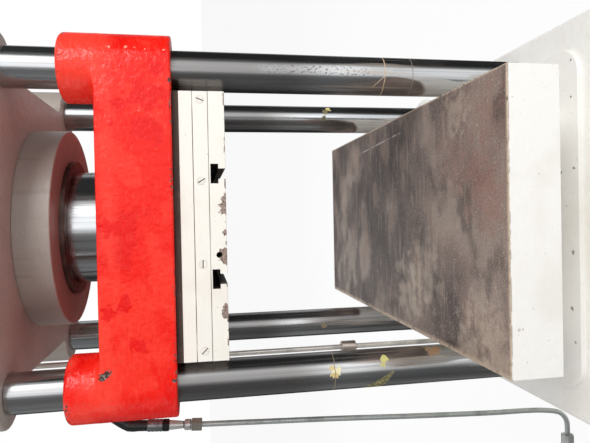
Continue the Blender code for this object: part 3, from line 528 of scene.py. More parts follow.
class Finish:
    """A node material while its pattern is put together."""

    def __init__(self, name, colour, roughness, metallic=0.0):
        self.material = bpy.data.materials.new(name)
        self.material.use_nodes = True
        self.tree = self.material.node_tree
        self.shader = self.tree.nodes["Principled BSDF"]
        self.colour = shade(*colour)
        self.material.diffuse_color = self.colour
        self.roughness = roughness
        self.metallic = metallic
        self.place = add_node(self.tree, "TexCoord").outputs["Object"]

    def noise(self, size, stretch=(1, 1, 1), detail=3.0):
        """Blotches about this size, longer along an axis whose stretch is above 1."""
        scale = tuple(1 / value for value in stretch)
        spread = add_node(self.tree, "Mapping", {"Vector": self.place, "Scale": scale})
        inputs = {"Vector": spread.outputs[0], "Scale": 1 / size, "Detail": detail}
        return add_node(self.tree, "TexNoise", inputs).outputs[0]

    def between(self, value, start, end, first=0.0, last=1.0):
        """Goes smoothly from first to last as the value goes from start to end."""
        names = ("Value", "From Min", "From Max", "To Min", "To Max")
        inputs = zip(names, (value, start, end, first, last))
        return add_node(self.tree, "MapRange", inputs, interpolation_type="SMOOTHSTEP").outputs[0]

    def patchy(self, start, end, size, stretch=(1, 1, 1), detail=3.0):
        """A mask of blotches, from where the noise is at start to where it is at end."""
        return self.between(self.noise(size, stretch, detail), start, end)

    def combined(self, operation, values):
        result = values[0]
        for value in values[1:]:
            result = add_math(self.tree, operation, result, value)
        return result

    def times(self, *values):
        return self.combined("MULTIPLY", values)

    def plus(self, *values):
        return self.combined("ADD", values)

    def minus(self, *values):
        return self.combined("SUBTRACT", values)

    def either(self, *masks):
        return self.combined("MAXIMUM", masks)

    def size_of(self, value):
        return add_math(self.tree, "ABSOLUTE", value)

    def along(self, axis):
        return add_node(self.tree, "SeparateXYZ", {"Vector": self.place}).outputs[axis]

    def ramp(self, axis, start, end):
        """A mask that goes from 0 to 1 between two places on an axis."""
        return self.between(self.along(axis), start, end)

    def within(self, axis, start, end, soft):
        """A mask that is 1 from start to end along an axis."""
        return self.times(self.ramp(axis, start - soft, start), self.ramp(axis, end + soft, end))

    def uneven_distance(self, point, grain, detail, wander):
        measure = add_node(
            self.tree, "VectorMath", {0: self.place, 1: point}, operation="DISTANCE"
        )
        ragged = self.minus(self.noise(grain, detail=detail), 0.5)
        return self.plus(measure.outputs["Value"], self.times(ragged, wander))

    def splat(self, point, radius):
        """A ragged spot round a point."""
        edge = self.uneven_distance(point, 0.9 * radius, 5.0, 3.2 * radius)
        return self.between(edge, 1.15 * radius, 0.85 * radius)

    def splats(self, points, front, bottom):
        """A spot for each (x, height over the bottom, radius) on a front face."""
        return [self.splat((x, front, bottom + rise), radius) for x, rise, radius in points]

    def smudge(self, point, radius):
        """A soft patch round a point, rubbed out unevenly."""
        edge = self.uneven_distance(point, 0.5 * radius, 9.0, 4.5 * radius)
        return self.between(edge, 1.7 * radius, 0.1 * radius)

    def slanted(self, start, end, axis="Y", origin=0.0):
        """How far in x a place lies from a line through two points (x, other axis)."""
        steepness = (end[0] - start[0]) / (end[1] - start[1])
        run = self.times(self.minus(self.along(axis), origin + start[1]), steepness)
        return self.size_of(self.minus(self.along("X"), start[0], run))

    def stain(self, mask, colour, most=1.0):
        """Lays a colour, three values of the screen or four of light, over the one there is."""
        if most < 1:
            mask = self.times(mask, most)
        mix = add_node(self.tree, "Mix", data_type="RGBA")
        inputs = {0: mask, 6: self.colour, 7: shade(*colour) if len(colour) == 3 else colour}
        for place, value in inputs.items():
            feed(self.tree, mix.inputs[place], value)
        self.colour = mix.outputs[2]

    def tint(self, pattern, start, end, most, colour):
        """A stain that grows up to most as the pattern goes from start to end."""
        self.stain(self.between(pattern, start, end, 0.0, most), colour)

    def relief(self, height, depth):
        inputs = {"Height": height, "Distance": depth, "Strength": 1.0}
        bump = add_node(self.tree, "Bump", inputs)
        feed(self.tree, self.shader.inputs["Normal"], bump.outputs[0])

    def done(self):
        for name, value in (
            ("Base Color", self.colour), ("Roughness", self.roughness), ("Metallic", self.metallic)
        ):
            feed(self.tree, self.shader.inputs[name], value)
        return self.material


# Marks of wear, and light patches on the table that are partly painted sunlight
# Marks on front faces: x, height above the table's top, radius
RED_BLOTS = (
    (-0.136, 0.580, 0.011), (-0.122, 0.550, 0.013), (-0.192, 0.529, 0.015), (0.002, 0.572, 0.016),
    (0.172, 0.568, 0.006), (0.204, 0.558, 0.012), (0.160, 0.512, 0.024), (0.215, 0.510, 0.026),
    (0.262, 0.497, 0.014),
)
BOSS_CHIPS = (
    (-0.2405, 0.5880, 0.0070), (-0.2350, 0.5810, 0.0050), (-0.2550, 0.4760, 0.0030),
    (-0.2980, 0.4800, 0.0026), (0.2440, 0.4720, 0.0034),
)
BOSS_NICKS = (
    (0.2974, 0.5679, 0.0020), (0.2983, 0.5421, 0.0024), (0.2980, 0.5280, 0.0014),
    (0.2945, 0.5115, 0.0013), (0.2766, 0.4824, 0.0018), (0.2947, 0.4812, 0.0018),
)
SIDE_NICKS = ((-0.1530, -0.0130, 0.0022), (-0.1520, -0.0190, 0.0016))
# x, y, radius
PAD_SPECKS = (
    (0.265, -0.397, 0.0022), (0.204, -0.396, 0.0018), (0.080, -0.368, 0.0030), (0.085, -0.401, 0.0026),
    (-0.150, -0.392, 0.0030), (-0.055, -0.396, 0.0036), (-0.205, -0.399, 0.0022),
)
# x, height above the platen's lowest face, radius
PLATEN_CHIPS = (
    (-0.1500, 0.0035, 0.0075), (-0.1410, 0.0040, 0.0070), (-0.0560, 0.0040, 0.0085),
    (-0.0440, 0.0035, 0.0080), (-0.0110, 0.0020, 0.0045), (0.0260, 0.0040, 0.0070),
    (0.0370, 0.0045, 0.0070), (0.0480, 0.0020, 0.0060),
)
# Rusty patches on the table, and light patches that are partly rubbed steel and partly painted sunlight.
# x, y, radius, strength, colour
RUSTY, RUBBED_AND_SUNLIT = (156, 118, 106), (200, 182, 164)
TABLE_PATCHES = (
    (0.068, -0.427, 0.050, 0.60, RUSTY), (0.029, -0.455, 0.040, 0.55, RUSTY),
    (0.165, -0.455, 0.036, 0.40, RUSTY), (0.100, -0.330, 0.050, 0.30, RUSTY),
    (-0.191, -0.470, 0.040, 0.60, RUBBED_AND_SUNLIT), (-0.205, -0.390, 0.040, 0.50, RUBBED_AND_SUNLIT),
    (-0.143, -0.420, 0.034, 0.40, RUBBED_AND_SUNLIT), (0.183, -0.349, 0.034, 0.45, RUBBED_AND_SUNLIT),
    (-0.150, -0.136, 0.055, 0.50, RUBBED_AND_SUNLIT), (-0.110, -0.210, 0.055, 0.40, RUBBED_AND_SUNLIT),
    (0.020, -0.300, 0.050, 0.30, RUBBED_AND_SUNLIT),
)
# x, y, height above the table's top, radius, colour
COLUMN_MARKS = (
    (-0.2660, -0.2590, 0.192, 0.0080, (232, 222, 180)),
    (-0.2740, -0.2600, 0.196, 0.0060, (206, 182, 120)),
    (-0.2600, -0.2570, 0.200, 0.0050, (214, 196, 140)),
    (-0.2521, -0.2520, 0.099, 0.0070, (214, 206, 130)),
    (-0.2600, -0.2560, 0.104, 0.0050, (196, 190, 128)),
    (-0.2440, -0.2430, -0.002, 0.0120, (146, 112, 80)), (0.2996, 0.1980, 0.086, 0.0070, (222, 206, 130)),
    (0.2900, 0.1930, 0.094, 0.0070, (120, 116, 70)), (0.2731, 0.1900, 0.100, 0.0060, (92, 88, 60)),
    (-0.2780, 0.1900, 0.110, 0.0070, (150, 128, 96)),
)
# The front, left and right halves of the press: axis, and where the mask is full
HALVES = (("Y", -0.001), ("X", -0.001), ("X", 0.001))
# Side, height above the table's top, half width, colour
STRINGS = (
    (1, 0.0900, 0.0005, (200, 174, 138)), (1, 0.0370, 0.0003, (120, 112, 106)),
    (-1, 0.1940, 0.0003, (140, 120, 86)),
)
# Height above the table's top, steepness, softness
WEDGE_EDGES = ((0.088, 1.64, 0.001), (0.083, 0.61, -0.001))


# Finishes
def red_enamel():
    """Brushed-on enamel: soft patches, an uneven skin, chips and knocks along its edges, and a painted
    highlight along its top.
    """
    look = Finish("red_enamel", (238, 27, 12), 0.34)
    look.shader.inputs["Specular IOR Level"].default_value = 0.27
    patches = look.noise(0.11)
    look.tint(patches, 0.50, 0.56, 0.85, (246, 50, 34))
    look.tint(patches, 0.47, 0.39, 0.85, (226, 14, 6))
    # Painted highlight: the top of the crosshead lighter and pinker, as if it reflected the light above.
    painted_top_highlight = look.ramp("Z", crosshead_top - 0.045, crosshead_top - 0.012)
    uneven = look.patchy(0.35, 0.60, 0.06, (3, 1, 1))
    look.stain(look.times(painted_top_highlight, uneven), (248, 62, 46))
    strokes = look.noise(0.005, (3, 2, 1))
    look.tint(strokes, 0.54, 0.74, 0.16, (250, 84, 66))
    front = -column_y - BOSS_R
    for blot in look.splats(RED_BLOTS, front, table_top):
        look.stain(blot, (228, 12, 6), 0.90)
    lower_rim = look.ramp("Z", crosshead_low + 0.0060, crosshead_low + 0.0020)
    upper_rim = look.within("Z", boss_top - BOSS_RIM_R, boss_top - 0.004, 0.002)
    spread = look.patchy(0.46, 0.58, 0.05)
    flecks = look.patchy(0.56, 0.60, 0.005)
    chips = look.times(look.either(lower_rim, upper_rim), spread, flecks)
    chips = look.either(chips, *look.splats(BOSS_CHIPS, front, table_top))
    look.stain(chips, (70, 50, 44))
    look.stain(look.times(chips, look.patchy(0.50, 0.60, 0.003)), (150, 136, 128))
    for nick in look.splats(BOSS_NICKS, front + 0.004, table_top):
        look.stain(nick, (246, 170, 146))
    look.roughness = look.between(strokes, 0.3, 0.7, 0.18, 0.36)
    skin = look.times(look.noise(0.009, detail=2.0), 3.2)
    sag = look.times(look.noise(0.05), 5.0)
    look.relief(look.minus(look.plus(strokes, skin, sag), look.times(chips, 0.8)), 0.0005)
    return look.done()


def white_paint(name, colour, grime):
    """Machine paint over a casting: a greasy film, spots, and dark flecks where it is knocked."""
    look = Finish(name, colour, 0.45)
    film = look.noise(0.20, detail=6.0)
    look.tint(film, 0.46, 0.72, 0.42, grime)
    look.tint(look.noise(0.012, (1, 1, 14), 2.0), 0.60, 0.78, 0.30, grime)
    foot = look.times(
        look.ramp("Z", 0.22, 0.0), look.patchy(0.24, 0.80, 0.07, detail=7.0)
    )
    look.stain(foot, (166, 158, 146), 0.30)
    look.tint(look.noise(0.005), 0.73, 0.76, 0.70, (132, 124, 114))
    for x, y, radius in PAD_SPECKS:
        look.stain(look.splat((x, y, pad_top), radius), (146, 137, 126))
    look.roughness = look.between(film, 0.35, 0.65, 0.38, 0.56)
    look.relief(look.plus(look.noise(0.003, detail=2.0), look.times(look.noise(0.020), 3.0)), 0.0006)
    return look.done()


def platen_paint():
    """Off-white plates, chipped along the lowest edge, with bare steel in the slots."""
    look = Finish("platen_paint", (240, 235, 225), 0.42)
    film = look.noise(0.14, detail=6.0)
    look.tint(film, 0.48, 0.66, 0.5, (224, 215, 200))
    bottom, front = low("tslot_plate").z, low("tslot_plate").y
    chipped = look.times(
        look.ramp("Z", bottom + 0.0030, bottom + 0.0012),
        look.patchy(0.53, 0.56, 0.012, (2.0, 1, 1), 4.0),
    )
    chipped = look.either(chipped, *look.splats(PLATEN_CHIPS, front, bottom))
    look.stain(chipped, (150, 128, 116))
    look.stain(look.times(chipped, look.patchy(0.52, 0.60, 0.003)), (88, 70, 62))
    for node, strength in (("heating_plate", 0.75), ("backing_plate", 0.95)):
        seam = low(node).z
        line = look.within("Z", seam - 0.0006, seam + 0.0003, 0.0004)
        broken = look.between(look.noise(0.03, (3, 1, 1)), 0.38, 0.52, 0.25, strength)
        look.stain(look.times(line, broken), (120, 106, 94))
    look.tint(look.noise(0.006), 0.70, 0.73, 0.6, (150, 136, 122))
    bare = look.ramp("Z", bottom + 0.0005, bottom + 0.0001)
    for slot_x in (-SLOT_X, SLOT_X):
        inside = look.times(
            look.within("X", slot_x - SLOT_HALF, slot_x + SLOT_HALF, 0.0002),
            look.ramp("Z", bottom + SLOT_DEPTH, bottom + SLOT_DEPTH - 0.0004),
            look.ramp("Y", front + 0.0003, front + 0.0008),
        )
        bare = look.either(bare, inside)
    look.stain(bare, (84, 74, 68))
    look.roughness = look.between(film, 0.35, 0.65, 0.34, 0.50)
    skin = look.times(look.noise(0.010, (4, 1, 1)), 1.5)
    look.relief(look.minus(skin, look.times(chipped, 0.8)), 0.0005)
    return look.done()


def plug_paint():
    """Plugs painted over with the plate, with painted shade in their slots and round their rims."""
    look = Finish("plug_paint", (236, 230, 220), 0.42)
    front = low("plug_1").y
    # Painted shade: everything behind the plug's front face is darker, in the slot and round the rim.
    look.stain(look.ramp("Y", front + 0.0002, front + 0.0007), (96, 82, 72))
    grain = look.noise(0.003)
    look.tint(grain, 0.56, 0.66, 0.4, (176, 162, 148))
    look.relief(grain, 0.0003)
    return look.done()


def fibre_board():
    look = Finish("fibre_board", (72, 54, 45), 0.85)
    layers = look.noise(0.0022, (22, 22, 1), 2.0)
    look.tint(layers, 0.40, 0.70, 0.7, (48, 36, 31))
    look.tint(look.noise(0.03), 0.55, 0.72, 0.5, (104, 84, 70))
    look.relief(layers, 0.0008)
    return look.done()


def worn_table():
    """The table's bare top: brown-grey steel, blotched by oil and heat, with fine scratches; painted
    sunlight on its front and front left, painted shade towards the rear.
    """
    look = Finish("worn_table", (92, 79, 74), 0.5, 0.15)
    look.shader.inputs["Specular IOR Level"].default_value = 0.35
    half, front, rear = high("bed_table").x, low("bed_table").y, high("bed_table").y
    # Painted light and shade: the table lighter towards the front and darker towards the rear, where the
    # crosshead's shade fell.
    look.stain(look.ramp("Y", 0.05, front), (136, 117, 108), 0.85)
    blotches = look.noise(0.20, detail=9.0)
    look.tint(blotches, 0.50, 0.62, 0.70, (164, 148, 136))
    look.tint(blotches, 0.49, 0.38, 0.75, (74, 62, 58))
    clouds = look.noise(0.07, (1.6, 1, 1), 8.0)
    look.tint(clouds, 0.52, 0.64, 0.50, (150, 128, 116))
    look.tint(clouds, 0.48, 0.38, 0.55, (70, 58, 54))
    wiped = look.noise(0.010, (9, 1, 1), 4.0)
    look.tint(wiped, 0.54, 0.70, 0.35, (172, 156, 144))
    # Rusty patches, and light patches that are partly rubbed and partly painted sunlight.
    for x, y, radius, strength, colour in TABLE_PATCHES:
        look.stain(look.smudge((x, y, table_top), radius), colour, strength)
    scratch = look.times(
        look.between(look.slanted((0.179, 0.179), (0.189, -0.096)), 0.0022, 0.0006),
        look.within("Y", -0.096, 0.179, 0.01),
        look.between(look.noise(0.02), 0.40, 0.55, 0.15, 0.8),
    )
    look.stain(scratch, (196, 190, 184))
    grain = look.noise(0.0024)
    look.tint(grain, 0.56, 0.66, 0.45, (178, 164, 152))
    look.tint(grain, 0.44, 0.34, 0.45, (54, 46, 43))
    look.tint(look.noise(0.0045, detail=1.0), 0.70, 0.74, 0.7, (206, 196, 186))
    edges = look.either(
        look.ramp("X", 0.012 - half, 0.002 - half),
        look.ramp("X", half - 0.005, half - 0.001),
        look.ramp("Y", front + 0.006, front + 0.001),
        look.ramp("Y", rear - 0.006, rear - 0.001),
    )
    worn = look.patchy(0.28, 0.50, 0.012, detail=5.0)
    look.stain(look.times(edges, worn), (202, 182, 160), 0.85)
    look.roughness = look.between(clouds, 0.3, 0.7, 0.42, 0.66)
    look.relief(look.plus(grain, look.times(wiped, 2.0)), 0.0005)
    return look.done()


def table_side():
    look = Finish("table_side", (240, 237, 231), 0.45)
    look.tint(look.noise(0.12, detail=6.0), 0.50, 0.68, 0.35, (218, 211, 200))
    look.tint(look.noise(0.006), 0.71, 0.73, 0.8, (112, 102, 94))
    front = low("bed_table").y
    look.stain(look.either(*look.splats(SIDE_NICKS, front, table_top)), (176, 164, 150), 0.6)
    edge = look.ramp("Z", table_top - 0.0036, table_top - 0.0012)
    look.stain(look.times(edge, look.patchy(0.46, 0.56, 0.02)), (132, 116, 104))
    look.relief(look.times(look.noise(0.010), 2.0), 0.0005)
    return look.done()


def column_steel():
    """Ground steel under oil: faint streaks along the column, painted shade between the table and the
    crosshead, grime and residue low down.
    """
    look = Finish("column_steel", (190, 190, 190), 0.2, 1.0)
    streaks = look.noise(0.0030, (1, 1, 120))
    look.tint(look.noise(0.014, (1, 1, 70), 2.0), 0.48, 0.66, 0.40, (136, 131, 127))
    look.tint(streaks, 0.52, 0.68, 0.35, (116, 110, 106))
    look.tint(streaks, 0.46, 0.32, 0.30, (204, 203, 202))
    # Painted shade: the columns darker between the table and the crosshead; the same band is also rougher
    # for its oil film.
    oil_and_painted_shade = look.times(
        look.ramp("Z", table_top + 0.16, table_top + 0.28), look.ramp("Z", crosshead_top, crosshead_low)
    )
    look.stain(oil_and_painted_shade, (96, 91, 88), 0.72)
    below = look.ramp("Z", table_top + 0.36, table_top + 0.06)
    film = look.times(below, look.patchy(0.40, 0.62, 0.05, (1, 1, 4), 5.0))
    look.stain(film, (150, 142, 132), 0.45)
    tan_streaks = look.times(below, look.patchy(0.56, 0.68, 0.009, (1, 1, 40), 2.0))
    look.stain(tan_streaks, (164, 142, 116), 0.45)
    drops = look.times(below, look.patchy(0.68, 0.74, 0.006, (1, 1, 2)))
    look.stain(drops, (206, 200, 188), 0.5)
    stained = look.either(look.times(film, 0.12), look.times(tan_streaks, 0.4))
    for x, y, rise, radius, colour in COLUMN_MARKS:
        mark = look.splat((x, y, table_top + rise), radius)
        look.stain(mark, colour)
        stained = look.either(stained, mark)
    front, left, right = (look.ramp(axis, 0, end) for axis, end in HALVES)
    for side, rise, width, colour in STRINGS:
        wander = look.times(look.minus(look.noise(0.02), 0.5), 0.006)
        far = look.size_of(look.minus(look.plus(look.along("Z"), wander), table_top + rise))
        half = right if side > 0 else left
        tie = look.times(look.between(far, width + 0.0006, width), half, front)
        look.stain(tie, colour)
        stained = look.either(stained, tie)
    tail = look.times(
        look.between(look.slanted((0.254, 0.105), (0.269, 0.088), "Z", table_top), 0.0010, 0.0004),
        look.within("Z", table_top + 0.088, table_top + 0.112, 0.001),
        right,
        front,
    )
    look.stain(tail, (206, 182, 148))
    wedge = look.times(front, left, look.ramp("X", -0.272, -0.274))
    for rise, steepness, soft in WEDGE_EDGES:
        slope = look.times(look.plus(look.along("X"), 0.273), steepness)
        side = look.plus(look.minus(look.along("Z"), table_top + rise), slope)
        wedge = look.times(wedge, look.between(side, soft, -soft))
    look.stain(wedge, (104, 98, 62))
    look.stain(look.times(wedge, look.patchy(0.50, 0.60, 0.006)), (150, 140, 92))
    stained = look.either(stained, wedge, tail)
    worn = look.times(
        look.within("X", 0.268, 0.280, 0.005),
        look.within("Z", table_top + 0.14, table_top + 0.30, 0.04),
        front,
    )
    look.stain(worn, (206, 206, 206), 0.12)
    pits = look.times(worn, look.patchy(0.52, 0.66, 0.0035, (1, 1, 1.6)))
    look.stain(pits, (66, 66, 68), 0.7)
    rough = look.between(streaks, 0.3, 0.7, 0.10, 0.22)
    look.roughness = look.plus(rough, look.times(oil_and_painted_shade, 0.10), look.times(stained, 0.35))
    look.metallic = look.between(stained, 0.0, 1.0, 1.0, 0.0)
    look.relief(streaks, 0.00005)
    return look.done()


def turned_steel(name, colour, rough, metallic=1.0, seams=()):
    """Steel with the fine marks of the tool, a thin film of oil, and painted shade at the tops of named
    fittings.
    """
    look = Finish(name, colour, rough, metallic)
    marks = look.noise(0.0012, detail=2.0)
    film = look.noise(0.05, detail=5.0)
    darker = tuple(value / 2 for value in look.colour[:3]) + (1,)
    look.tint(film, 0.48, 0.66, 0.7, darker)
    look.tint(marks, 0.55, 0.75, 0.3, darker)
    # Painted shade: a dark line round the top of each named fitting, where it meets the next one.
    for node in seams:
        top = high(node).z
        look.stain(look.within("Z", top - SEAM_SHADE, top + SEAM_SHADE, SEAM_SHADE), (52, 50, 47), 0.85)
    look.roughness = look.between(film, 0.3, 0.7, rough - 0.08, rough + 0.14)
    look.relief(marks, 0.00015)
    return look.done()


def rubber(name, colour, rough):
    look = Finish(name, colour, rough)
    look.tint(look.noise(0.02, detail=5.0), 0.50, 0.68, 0.4, (70, 68, 66))
    look.relief(look.noise(0.0016, detail=2.0), 0.0003)
    return look.done()


# Each look's material, and the slot of the record that it belongs to
LOOKS = {
    "enamel": (red_enamel(), "crosshead_paint"),
    "base": (white_paint("base_paint", (246, 244, 239), (222, 216, 204)), "base_paint"),
    # The crown's paint is the base's off-white darkened into painted shade, for the crown, its cylinder and
    # the high rod bracket.
    "crown": (white_paint("crown_paint", (164, 155, 146), (122, 110, 101)), "crown_paint"),
    "platen": (platen_paint(), "platen_paint"),
    "plug": (plug_paint(), "platen_paint"),
    "board": (fibre_board(), "insulation"),
    "table": (worn_table(), "table_steel"),
    "table_side": (table_side(), "table_steel"),
    "column": (column_steel(), "column_steel"),
    "machined": (turned_steel("machined_steel", (186, 180, 174), 0.30), "machined_steel"),
    # The gland's steel is darkened well below the machined steel: painted shade under the crown, on the
    # gland and the ram's clamp ring.
    "gland": (turned_steel("gland_steel_painted_shade", (112, 98, 90), 0.42), "machined_steel"),
    "collar": (turned_steel("collar_steel", (226, 212, 202), 0.38), "machined_steel"),
    "black": (turned_steel("black_steel", (74, 72, 70), 0.42), "black_steel"),
    "zinc": (turned_steel("fitting_zinc", (188, 192, 188), 0.38, 0.6), "fitting_zinc"),
    "coupling": (
        turned_steel("coupling_zinc", (204, 205, 201), 0.38, 0.65, ("coupling_collar", "pipe_nut")),
        "fitting_zinc",
    ),
    "pipe_nut": (
        turned_steel("pipe_nut_zinc", (158, 152, 141), 0.36, 0.7, ("pipe_nut",)), "fitting_zinc"
    ),
    "dark_fitting": (turned_steel("dark_fitting", (136, 138, 139), 0.30, 0.8), "fitting_zinc"),
    "swivel": (turned_steel("swivel_steel", (58, 58, 58), 0.26, 0.8), "fitting_zinc"),
    "rod": (turned_steel("rod_steel", (220, 214, 205), 0.34, 0.5), "column_steel"),
    "bronze": (turned_steel("bronze", (190, 144, 84), 0.32), "bronze"),
    "seal": (rubber("seal_rubber", (36, 35, 34), 0.6), "seal_rubber"),
    "hose": (rubber("hose_rubber", (24, 24, 25), 0.36), "hose_rubber"),
}


def stand_in(obj, look, node, body=FIXED):
    """Finishes a piece, and puts it on its body in place of the CAD node."""
    material, slot = LOOKS[look]
    obj.data.materials.clear()
    obj.data.materials.append(material)
    obj.data.shade_smooth()
    obj.data.set_sharp_from_angle(angle=SHARP)
    flats = obj.modifiers.new("Flats", "WEIGHTED_NORMAL")
    flats.keep_sharp = True
    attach(obj, body)
    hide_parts(node)


# Base and bed
def base():
    plan = base_outline(base_half, base_front, BASE_CORNER_R)
    body = prism("base_body", plan, 0, deck, DECK_EDGE_R, ("top",), 5)
    plan = base_outline(column_x + PAD_PAST_COLUMN, PAD_FRONT, PAD_CORNER_R, PAD_INSET)
    pad = prism("pad", plan, deck - OVERRUN, pad_top, PAD_EDGE_R, ("top",), 3)
    recess = disc(COLUMN_R + PAD_COLUMN_GAP, deck - 2 * OVERRUN, pad_top + OVERRUN)
    carve(pad, "DIFFERENCE", *at_columns("pad_recess", recess))
    carve(body, "UNION", pad)
    plate_low = deck - BASE_PLATE
    wide, slim = base_half - BASE_WALL, waist_half - WAIST_WALL
    front, rear = BASE_WALL - base_front, column_y + BOSS_R - BASE_WALL
    turn = -BASE_TURN - BASE_WALL
    web = BASE_WEB / 2
    corners = ((web, front), (wide, front), (wide, turn), (slim, turn), (slim, rear), (web, rear))
    outline = rounded([(*corner, CORE_CORNER_R) for corner in corners])
    cores = [prism("core", shape, -OVERRUN, plate_low) for shape in (outline, mirrored_x(outline))]
    pockets = at_columns("pocket", disc(NUT_POCKET_R, -OVERRUN, plate_low + SPOTFACE))
    bores = at_columns("bore", disc(COLUMN_END_R + GAP, plate_low - OVERRUN, pad_top + OVERRUN))
    carve(body, "DIFFERENCE", *cores, *pockets, *bores)
    stand_in(body, "base", "base_casting")


def bed():
    stand_in(block("riser_block", *BOX["bed_riser"], RISER_EDGE), "base", "bed_riser")
    table = block("table_plate", *BOX["bed_table"], TABLE_EDGE)
    stand_in(table, "table", "bed_table")
    table.data.materials.append(LOOKS["table_side"][0])
    for face in table.data.polygons:
        face.material_index = int(face.center.z < table_top - TABLE_SKIN)


# Columns
def columns():
    for corner, (side, rear) in CORNERS.items():
        at = (side * column_x, rear * column_y, 0)
        bottom, top = levels("column_" + corner)
        shoulder_low, shoulder_high = deck + GAP, crown_low - GAP
        thread_low = low("lower_nut_" + corner).z + THREAD_INSET
        thread_high = high("upper_nut_" + corner).z - THREAD_INSET
        profile = [
            (0, thread_high), (COLUMN_END_R - THREAD_DEPTH, thread_high),
            (COLUMN_END_R, thread_high - THREAD_DEPTH), (COLUMN_END_R, shoulder_high),
            (COLUMN_R, shoulder_high, COLUMN_EDGE), (COLUMN_R, shoulder_low, COLUMN_EDGE),
            (COLUMN_END_R, shoulder_low), (COLUMN_END_R, thread_low + THREAD_DEPTH),
            (COLUMN_END_R - THREAD_DEPTH, thread_low), (0, thread_low),
        ]
        shaft = lathe("column_shaft_" + corner, rounded(profile, CHAMFER_ARC), COLUMN_STEPS, at)
        upper = thread("upper_thread", COLUMN_END_R, thread_high - THREAD_LAP, top, at)
        lower = thread("lower_thread", COLUMN_END_R, bottom, thread_low + THREAD_LAP, at)
        join(shaft, upper, lower)
        stand_in(shaft, "column", "column_" + corner)
        for node in ("lower_nut_" + corner, "upper_nut_" + corner):
            size = high(node) - low(node)
            spot = (at[0], at[1], low(node).z)
            flats, bore = min(size.x, size.y), COLUMN_END_R + GAP
            nut = hexagon(node + "_fine", flats, size.z, NUT_CHAMFER, spot, bore=bore)
            stand_in(nut, "black", node)
        node = "guide_bush_" + corner
        sleeve = ring(COLUMN_R + GAP, COLUMN_R + BUSH_WALL, *levels(node))
        stand_in(lathe(node + "_fine", sleeve, COLUMN_STEPS, at), "bronze", node, MOVING)
        node = "column_wiper_" + corner
        bottom, top = levels(node)
        inner, outer = COLUMN_R + GAP, COLUMN_R + WIPER_WALL
        profile = [
            (outer, top - WIPER_LIP, RING_EDGE), (outer, bottom, RING_EDGE), (inner, bottom, RING_EDGE),
            (inner, top, RING_EDGE),
            (inner + WIPER_LIP_SHARE * (outer - inner), top - WIPER_LIP, FINE_EDGE),
        ]
        wiper = lathe(node + "_fine", rounded(profile, EASED_ARC), COLUMN_STEPS, at)
        stand_in(wiper, "seal", node, MOVING)


# Crown, cylinder and ram
def crown():
    body = prism("crown_body", casting_outline(), crown_low, crown_top, CASTING_EDGE_R)
    through = crown_low - OVERRUN, crown_top + OVERRUN
    bores = at_columns("crown_bore", disc(COLUMN_END_R + GAP, *through))
    carve(body, "DIFFERENCE", *bores, lathe("barrel_bore", disc(CYLINDER_R + GAP, *through)))
    stand_in(body, "crown", "crown")


def cylinder():
    flange_low, top = levels("cylinder_barrel")
    flange_r = high("cylinder_barrel").x
    flange_top, seat, head = flange_low + FLANGE_THICK, flange_low + GLAND_SEAT, top - CYLINDER_HEAD
    profile = [
        (0, top), (CYLINDER_R, top, CYLINDER_EDGE_R), (CYLINDER_R, flange_top),
        (flange_r, flange_top, TURNED_EDGE), (flange_r, flange_low, FLANGE_EDGE_R),
        (GLAND_R + GAP, flange_low, FINE_EDGE), (GLAND_R + GAP, seat + GAP), (BORE_R, seat + GAP),
        (BORE_R, head), (0, head),
    ]
    stand_in(lathe("barrel_turned", rounded(profile, FINE_ARC)), "crown", "cylinder_barrel")
    outer = high("cylinder_lock_ring").x
    bottom, top = levels("cylinder_lock_ring")
    profile = [
        (outer, top, LOCK_EDGE), (outer, bottom, TURNED_EDGE),
        (CYLINDER_R + GAP, bottom, LOCK_FOOT_EDGE), (CYLINDER_R + GAP, top, TURNED_EDGE),
    ]
    stand_in(lathe("lock_ring", rounded(profile, ROUND_ARC)), "machined", "cylinder_lock_ring")
    bottom, top = levels("gland_housing")
    bore, lining = RAM_R + GLAND_BORE_GAP, RAM_R + GLAND_LINING
    profile = [
        (BORE_R - GAP, top, GLAND_TOP_EDGE), (BORE_R - GAP, seat), (GLAND_R, seat),
        (GLAND_R, bottom, GLAND_EDGE), (bore, bottom, GLAND_EDGE), (bore, bottom + GLAND_LIP),
        (lining, bottom + GLAND_LIP), (lining, top),
    ]
    stand_in(lathe("gland_turned", rounded(profile, ROUND_ARC)), "gland", "gland_housing")
    for node, look in (("rod_seal", "seal"), ("ram_guide_bush", "bronze")):
        shape = ring(RAM_R + GAP, lining - GAP, *levels(node))
        stand_in(lathe(node + "_fine", shape), look, node)


def ram():
    bottom, top = levels("ram")
    shoulder = low("piston").z - GAP
    groove_low = crosshead_top + RAM_GROOVE_RISE
    groove_high = groove_low + RAM_GROOVE_WIDTH
    groove_r = RAM_R - RAM_GROOVE
    profile = [
        (0, top), (SPIGOT_R, top, TURNED_EDGE), (SPIGOT_R, shoulder), (RAM_R, shoulder, TURNED_EDGE),
        (RAM_R, groove_high), (groove_r, groove_high), (groove_r, groove_low), (RAM_R, groove_low),
        (RAM_R, bottom, TURNED_EDGE), (0, bottom),
    ]
    stand_in(lathe("ram_turned", rounded(profile, CHAMFER_ARC)), "column", "ram", MOVING)
    outer = high("ram_clamp_ring").x
    bottom, top = levels("ram_clamp_ring")
    profile = [
        (outer, top, CLAMP_EDGE), (outer, bottom, FINE_EDGE), (RAM_R + GAP, bottom),
        (RAM_R + GAP, groove_low + GAP), (groove_r + GAP, groove_low + GAP),
        (groove_r + GAP, groove_high - GAP), (RAM_R + GAP, groove_high - GAP),
        (RAM_R + GAP, top, FINE_EDGE),
    ]
    stand_in(lathe("clamp_ring_turned", rounded(profile, EASED_ARC)), "gland", "ram_clamp_ring", MOVING)


